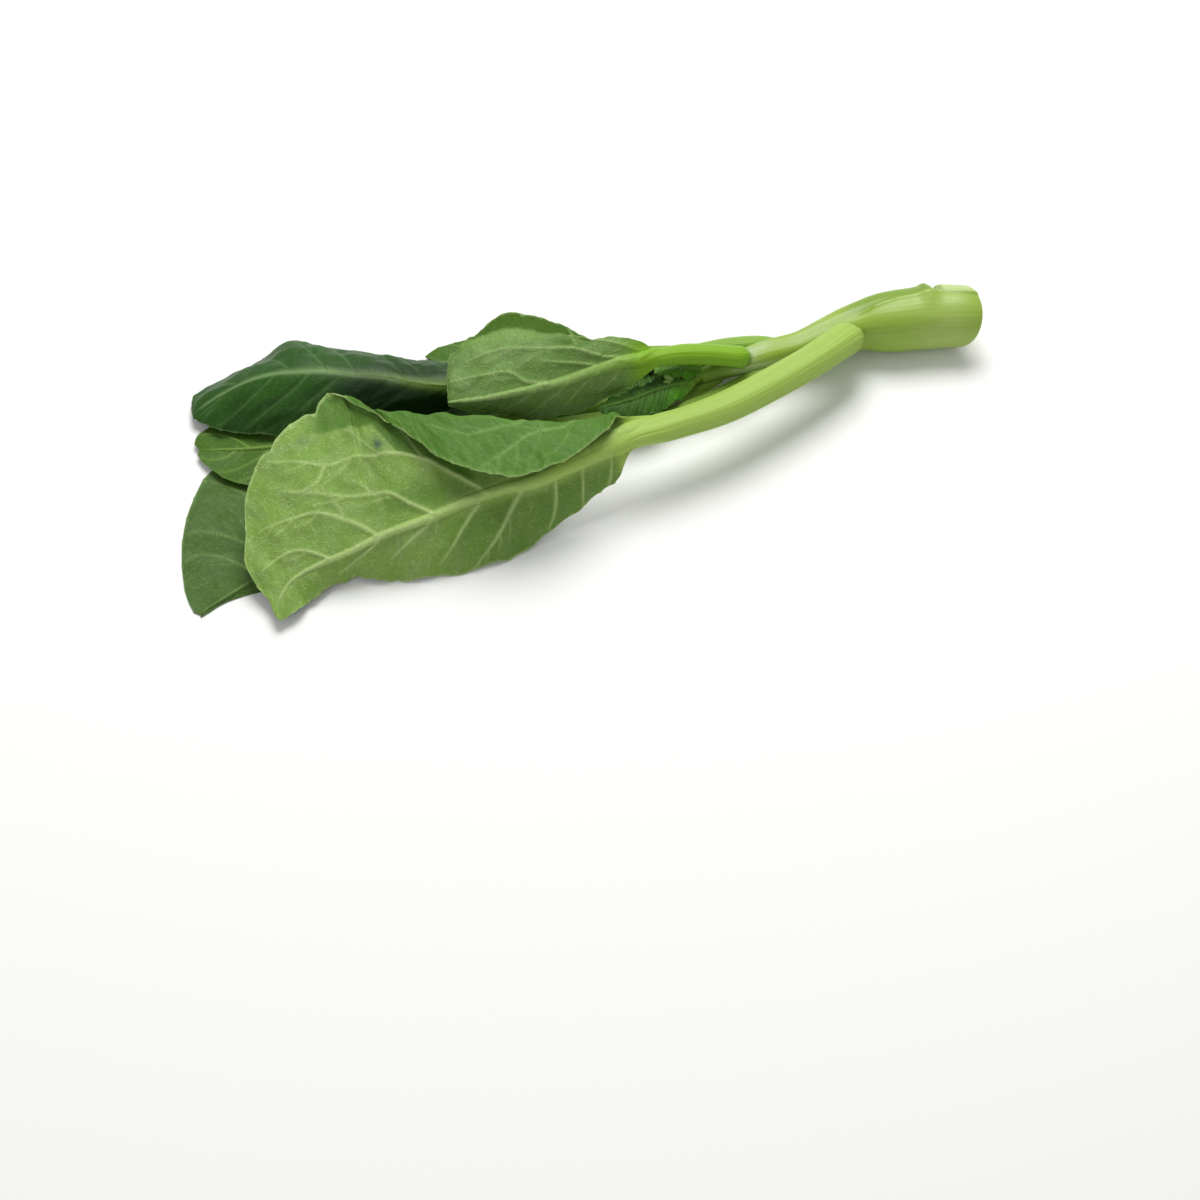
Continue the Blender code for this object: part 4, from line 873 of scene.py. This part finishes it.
# The leaf in the middle of the heap.
# Its underside is up, and little more than its rounded end shows between its neighbours.  The
# stalk, edged with narrow wings of blade, runs along the table under the other leaves.
LEAF_4 = [
    ((45, 94.5, 9), (2.5, 2.4)),
    ((39, 91.8, 5.4), (2.9, 2.6)),
    ((32.5, 89.8, 3.4), (3.1, 2.7)),
    ((22, 87.6, 3.0), (3.2, 2.7)),
    ((0, 84, 2.9), (3.0, 2.6), (-1, 77.5, 1.4), None, (1, 89, 1.4)),
    ((-25, 79, 2.8), (2.7, 2.4), (-26.5, 72, 1.4), None, (-24, 86, 1.4)),
    ((-46.5, 74, 2.7), (2.4, 2.2), (-47.5, 69.5, 2.2), None, (-46, 86, 1.4)),
    ((-62, 71, 2.7), (2.1, 2.0), (-62, 66.5, 2.8), None, (-62.5, 84, 1.8)),
    ((-76.5, 68.5, 2.7), (1.9, 1.8), (-78.5, 57.5, 2.9), None, (-78, 84, 1.8)),
    ((-89.5, 66.5, 2.7), (1.7, 1.6), (-93, 50, 2.9), None, (-93, 88.5, 1.4)),
    ((-101.5, 65, 2.7), (1.5, 1.4), (-105.5, 46, 2.9), None, (-106, 89, 1.2)),
    ((-112, 64.5, 2.7), (1.3, 1.2), (-116, 45.5, 2.9), None, (-118, 85.5, 1.2)),
    ((-121, 63.5, 2.7), (1.1, 1.0), (-124.5, 47.5, 2.9), None, (-127.5, 81, 1.3)),
    ((-128.5, 63, 2.6), (0.9, 0.8), (-131.5, 50, 2.8), None, (-135, 77, 1.4)),
    ((-134.5, 63, 2.5), (0.7, 0.7), (-136.5, 54, 2.6), None, (-140.5, 73, 1.6)),
    ((-139, 63, 2.3), (0.6, 0.6), (-140.5, 58, 2.4), None, (-143.5, 69.5, 1.8)),
    ((-142, 63.5, 2.2), (0.5, 0.5), (-142.5, 61, 2.2), None, (-144, 66, 2.0)),
]
# Underside: green darkened as painted shade from the others, with little wax
leaf_4_under = leaf_skin("fresh leaf underside", "#365b0c", "#406714", "#6e8f3a", "#7fa03c",
                         net=0.35, wax=0.08)
leaf_4 = leaf_piece("leaf_4_skin", LEAF_4, (112, 180, 6, 24), [leaf_4_under, leaf_1_top],
                    near_points=34, far_points=34, spacing=0.9, seed=11, wave=0.0, near_bow=0.01,
                    far_bow=0.01, ruffle=0.12, pucker=0.15)
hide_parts("leaf_4")
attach(leaf_4, "root")


# The small leaf on the table at the back.
# It lies flat with its upper side up and shows past the creased leaf's end.  It grows from the
# stem's far side, low down.
LEAF_5 = [
    ((56, 98.5, 7.6), (2.8, 2.6)),
    ((51, 101, 4.5), (3.0, 2.6)),
    ((43.5, 104.5, 3.4), (3.1, 2.7)),
    ((33, 106.5, 3.2), (3.1, 2.7)),
    ((18, 107, 3.1), (3.0, 2.6)),
    ((2, 106.5, 3.0), (2.6, 2.3), (2, 101, 2.6), None, (2, 112.5, 2.4)),
    ((-11, 106, 2.8), (2.2, 2.0), (-12, 94, 1.4), None, (-12, 118, 1.0)),
    ((-22.5, 105.5, 2.6), (1.8, 1.7), (-24.5, 91, 0.6), None, (-24.5, 120, 0.4)),
    ((-33.5, 105, 2.6), (1.5, 1.4), (-35.5, 89.5, 0.4), None, (-36.5, 119.5, 0.4)),
    ((-42.5, 104.5, 2.6), (1.2, 1.1), (-44.5, 91.5, 0.5), None, (-46, 116.5, 0.5)),
    ((-49.5, 104, 2.5), (0.9, 0.9), (-52, 95, 0.7), None, (-54.5, 113.8, 0.6)),
    ((-55.5, 103.5, 2.3), (0.7, 0.7), (-57.5, 98.5, 0.9), None, (-60.5, 110.7, 0.9)),
    ((-60, 104, 2.0), (0.5, 0.5), (-61.5, 101.5, 1.3), None, (-63.5, 107, 1.3)),
]
# Upper side: deep, clear green, with a faint net of veins
leaf_5_top = leaf_skin("deep green leaf upper side", "#2a530c", "#335e13", "#698e3e", "#7fa03c",
                       net=0.2)
leaf_5 = leaf_piece("leaf_5_skin", LEAF_5, (58, 104, 6, 16), [leaf_4_under, leaf_5_top],
                    near_points=26, far_points=26, spacing=0.8, seed=13, wave=0.0, near_bow=0.02,
                    far_bow=0.02, ruffle=0.12, pucker=0.15)
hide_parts("leaf_5")
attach(leaf_5, "root")


# The lowest leaf.
# The weight of the others presses it flat on the table, underside up.  Its stalk lies alongside
# the large leaf's, below it.
LEAF_6 = [
    ((64, 100, 9.5), (3.0, 2.7)),
    ((57.5, 93.5, 8), (3.4, 2.9)),
    ((48, 87.2, 6.9), (3.4, 2.9)),
    ((37.5, 81.7, 6.2), (3.4, 2.9)),
    ((24, 76, 5.4), (3.4, 2.9)),
    ((10, 70.5, 4.7), (3.3, 2.8)),
    ((-5.5, 64, 4), (3.0, 2.6)),
    ((-21, 56.5, 3.4), (2.7, 2.4), (-20.5, 50, 2.8), None, (-22, 64, 2.8)),
    ((-37, 48.5, 3), (2.4, 2.1), (-37.5, 37, 1.6), None, (-40, 69.5, 1.2)),
    ((-52.5, 40.5, 2.7), (2.1, 1.8), (-55.5, 26.5, 0.7), (-56, 52, 1.2), (-60.5, 68, 0.5)),
    ((-68, 33, 2.5), (1.8, 1.6), (-72, 18.5, 0.5), (-73.5, 46, 0.5), (-81.5, 63.5, 0.4)),
    ((-82.5, 26, 2.3), (1.5, 1.4), (-86, 12.5, 0.4), (-91, 40, 0.4), (-102.5, 59, 0.4)),
    ((-96, 19.5, 2.1), (1.3, 1.2), (-98, 7, 0.4), (-107, 36, 0.4), (-122, 59, 0.4)),
    ((-107.5, 14, 1.9), (1.1, 1.0), (-108.5, 4.5, 0.4), (-120, 31.5, 0.4), (-137, 55.5, 0.4)),
    ((-117, 8, 1.6), (0.9, 0.8), (-117, 3, 0.4), (-128, 22, 0.4), (-143, 41.5, 0.4)),
    ((-124, 3, 1.3), (0.8, 0.7), (-124.5, 0.5, 0.4), (-133, 12.5, 0.4), (-145, 25, 0.4)),
    ((-129.5, -1, 1.0), (0.6, 0.6), (-130, -2.5, 0.4), (-135.5, 3.3, 0.4), (-143.5, 9, 0.4)),
    ((-133.5, -4, 0.8), (0.5, 0.5), (-133.5, -5.5, 0.4), (-136.7, -2.5, 0.4), (-141, -0.5, 0.4)),
    ((-136, -6.5, 0.7), (0.5, 0.5), (-136, -7.5, 0.4), None, (-138.5, -5.5, 0.4)),
]
# Underside: dull grey-green, darkened as painted shade under the heap
leaf_6_under = leaf_skin("dull leaf underside", "#38581a", "#446522", "#70904a", "#7fa03c",
                         net=0.35, wax=0.1)
leaf_6 = leaf_piece("leaf_6_skin", LEAF_6, (112, 215, 8, 28), [leaf_6_under, leaf_1_top],
                    near_points=30, far_points=56, crease_radius=20.0, spacing=0.9, seed=17,
                    wave=0.0, near_bow=0.0, far_bow=0.0, ruffle=0.1, pucker=0.12)
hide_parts("leaf_6")
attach(leaf_6, "root")


# The young tip.
# The stem ends in a soft short shoot with three small crinkled leaves and a tight cluster of green
# flower buds on short stalks, all grown together.
TIP_LINE = [
    (37, 92, 9.6, 2.2),
    (32.2, 88.9, 9.6, 2.0),
    (27.9, 87, 10.5, 1.7),
    (23, 85, 11.5, 1.2),
]
YOUNG_LEAVES = [
    [
        ((34, 88.5, 9.6), (1.3, 1.2)),
        ((27, 84.5, 13), (1.2, 1.1), (28.4, 80.4, 11.5), None, (27.7, 87.5, 13.5)),
        ((19.5, 80, 15), (1.0, 1.0), (19.8, 72.8, 12.5), None, (20, 84.5, 15)),
        ((11.3, 75.5, 15.5), (0.8, 0.8), (11.3, 70.3, 13), None, (12, 79.5, 15.5)),
        ((4.2, 73.5, 15), (0.6, 0.7), (4.2, 69.7, 13.5), None, (4.5, 76.5, 14.5)),
        ((-0.7, 73, 14), (0.5, 0.5), (-0.4, 71.8, 14), None, (-0.7, 74, 14)),
    ],
    [
        ((38, 92, 9.8), (1.2, 1.1)),
        ((34.5, 91.5, 13), (1.1, 1.0), (34, 88.8, 12.8), None, (35, 94.5, 12.5)),
        ((29.5, 91, 14.6), (0.9, 0.9), (29, 87.3, 14.3), None, (30, 95, 13.5)),
        ((24, 90.5, 14.8), (0.7, 0.7), (23.5, 87.5, 14.5), None, (24, 94, 13.8)),
        ((19.5, 90, 14.2), (0.5, 0.5), (19.3, 88.5, 14.2), None, (19.5, 91.3, 14)),
    ],
    [
        ((33, 88.5, 8.8), (1.2, 1.1)),
        ((26, 87.8, 9), (1.1, 1.0), (26, 85, 8.6), None, (26, 95, 7.2)),
        ((18, 86.5, 9.2), (0.9, 0.9), (18, 82, 8.6), None, (18, 97.5, 6.8)),
        ((10, 84.7, 9.4), (0.7, 0.7), (10, 81, 8.8), None, (10, 94.5, 7.0)),
        ((4.5, 83.5, 9.5), (0.5, 0.5), (4.4, 82.4, 9.4), None, (4.5, 84.5, 9.4)),
    ],
]
# Painted shade on the first young leaf: way along and out, strength and spread
YOUNG_SHADE = [(13, 3.5, 0.8, 3.5), (20, 3.5, 0.7, 3.5), (28, 3, 0.7, 3)]      # on the first one
BUD_LENGTH, BUD_WIDTH, BUD_SPREAD = 5.2, 3.0, 0.95      # mm
BUD_COUNT, BUD_TURN = 14, math.radians(137.5)           # each one turned on from the last
BUD_MIDDLE = (23.0, 85.0, 11.6)     # mm, at the shoot's end
BUD_ROOT = 0.006                    # m behind the cluster's middle, where the buds point away from


def painted_light_near_edge(way, across, share):
    """Painted light, as if falling through the near half, low down."""
    return 0.9 * bell(way - 10, 4) * (across < -1.5)


def painted_light_all_over(way, across, share):
    """Painted light, as if falling through the whole leaf."""
    return 0.9 + 0 * way


# Underside: deep green, a close net and a faint wax, with painted light where it would shine
# through
young_under = leaf_skin("young leaf underside", "#284f0a", "#335e10", "#567c30", "#6c9632",
                        net=0.3, cell=1.8, wax=0.12, wax_colour="#6b8c62", painted_light_and_shade="#4a8a10",
                        spot_and_shade="#1d3a0c")
# Upper side: the same green with a soft shine and paler veins, and painted light
young_top = leaf_skin("young leaf upper side", "#28500c", "#335f13", "#729a44", "#6c9632",
                      net=0.25, cell=1.8, gloss=(0.42, 0.4), painted_light_and_shade="#47830f")
grid, at, angle = rod(TIP_LINE, rings=40, sides=40)
points, faces = closed_rod(grid, end_rings=5, sunk=0.1)
shoot = new_piece("shoot_tip_stalk", points.reshape(-1, 3), faces, [stem_rind])
add_uv(shoot.data, points[..., :2].reshape(-1, 2))
# The shoot's rind is deeper green all over, partly as painted shade under the young leaves
for label, value in (("pale", 0.0), ("wax", 0.0), ("deep", 0.7), ("inwards", 0.0)):
    add_value(shoot.data, label, np.full(len(shoot.data.vertices), value))
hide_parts("shoot_tip")
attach(shoot, "root")
for number, rows in enumerate(YOUNG_LEAVES, 1):
    turned = number == 2            # it alone shows its upper side
    young = leaf_piece("young_leaf_%d" % number, rows, (6, 30, 13, 3.5), [young_under, young_top],
                       rib_up=not turned, near_points=20, far_points=20, spacing=0.3,
                       seed=18 + number, wave=0.5, wave_length=9.0, ruffle=0.5,
                       ruffle_length=4.5, pucker=0.25, tooth=1.0, rib_points=6, full_blade=2.5,
                       vein_show=0.6, spots_and_shade=YOUNG_SHADE if number == 1 else (),
                       painted_light_and_shade=painted_light_all_over if turned else painted_light_near_edge)
    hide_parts("shoot_tip")
    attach(young, "root")

# Closed buds: dull green sepals, mottled with a paler green, smooth
bud_sepals, tree, shader = new_material("green flower bud sepals")
place_on = add_node(tree, "ShaderNodeTexCoord", {})
mottle = add_node(tree, "ShaderNodeTexNoise",
                  {"Vector": place_on.outputs["Object"], "Scale": 700.0, "Detail": 3.0})
sepal = add_node(tree, "ShaderNodeMix",
                 {0: mottle, 6: linear("#5c8432"), 7: linear("#8fae58")}, data_type="RGBA")
set_inputs(tree, shader, {"Base Color": sepal, "Roughness": 0.5})

# The cluster follows the turn of a sunflower's head, laid out by Geometry Nodes
cluster = bpy.data.node_groups.new("bud cluster", "GeometryNodeTree")
for name, kind, value in (("Buds", "NodeSocketInt", BUD_COUNT),
                          ("Spread", "NodeSocketFloat", BUD_SPREAD * 0.001),
                          ("Bud length", "NodeSocketFloat", BUD_LENGTH * 0.001),
                          ("Bud width", "NodeSocketFloat", BUD_WIDTH * 0.001),
                          ("Middle", "NodeSocketVector", tuple(place(BUD_MIDDLE))),
                          ("Seed", "NodeSocketInt", 4),
                          ("Sepals", "NodeSocketMaterial", bud_sepals)):
    socket = cluster.interface.new_socket(name, in_out="INPUT", socket_type=kind)
    socket.default_value = value
cluster.interface.new_socket("Geometry", in_out="OUTPUT", socket_type="NodeSocketGeometry")
given = add_node(cluster, "NodeGroupInput", {}).outputs
dots = add_node(cluster, "GeometryNodeMeshLine", {"Count": given["Buds"], "Offset": (0, 0, 0)})
number = add_node(cluster, "GeometryNodeInputIndex", {})
turned = add_node(cluster, "ShaderNodeMath", {0: number, 1: BUD_TURN}, operation="MULTIPLY")
root = add_node(cluster, "ShaderNodeMath", {0: number}, operation="SQRT")
out = add_node(cluster, "ShaderNodeMath", {0: root, 1: given["Spread"]}, operation="MULTIPLY")
sides = []
for wave in ("COSINE", "SINE"):
    side = add_node(cluster, "ShaderNodeMath", {0: turned}, operation=wave)
    sides.append(add_node(cluster, "ShaderNodeMath", {0: side, 1: out}, operation="MULTIPLY"))
dome = add_node(cluster, "ShaderNodeMath", {0: out, 1: 0.45}, operation="MULTIPLY")
spot = add_node(cluster, "ShaderNodeCombineXYZ", {"X": dome, "Y": sides[0], "Z": sides[1]})
facing = add_node(cluster, "ShaderNodeVectorMath",
                  {0: spot, 1: (BUD_ROOT, 0.0, 0.0)}, operation="SUBTRACT")
dots = add_node(cluster, "GeometryNodeSetPosition", {"Geometry": dots, "Position": spot})
ball = add_node(cluster, "GeometryNodeMeshIcoSphere", {"Radius": 0.5, "Subdivisions": 4})
shape = add_node(cluster, "ShaderNodeCombineXYZ",
                 {"X": given["Bud width"], "Y": given["Bud width"], "Z": given["Bud length"]})
ball = add_node(cluster, "GeometryNodeTransform", {"Geometry": ball, "Scale": shape})
aimed = add_node(cluster, "FunctionNodeAlignRotationToVector", {"Vector": facing}, axis="Z")
grown = add_node(cluster, "FunctionNodeRandomValue",
                 {"Min": 0.72, "Max": 1.0, "Seed": given["Seed"]}, data_type="FLOAT")
buds = add_node(cluster, "GeometryNodeInstanceOnPoints",
                {"Points": dots, "Instance": ball, "Rotation": aimed, "Scale": grown.outputs[1]})
for kind, inputs in (("GeometryNodeTransform", {"Translation": given["Middle"]}),
                     ("GeometryNodeRealizeInstances", {}), ("GeometryNodeSetShadeSmooth", {}),
                     ("GeometryNodeSetMaterial", {"Material": given["Sepals"]})):
    buds = add_node(cluster, kind, {"Geometry": buds, **inputs})
add_node(cluster, "NodeGroupOutput", {0: buds})

flower_buds = bpy.data.objects.new("flower_buds", bpy.data.meshes.new("flower_buds"))
bpy.context.scene.collection.objects.link(flower_buds)
grower = flower_buds.modifiers.new("cluster", "NODES")
grower.node_group = cluster
for item in cluster.interface.items_tree:
    if item.in_out == "INPUT":
        grower[item.identifier] = item.default_value
bpy.context.view_layer.update()
grown_mesh = bpy.data.meshes.new_from_object(
    flower_buds.evaluated_get(bpy.context.evaluated_depsgraph_get()))
flower_buds.modifiers.remove(grower)
flower_buds.data = grown_mesh
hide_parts("shoot_tip")
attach(flower_buds, "root")


bpy.context.view_layer.update()
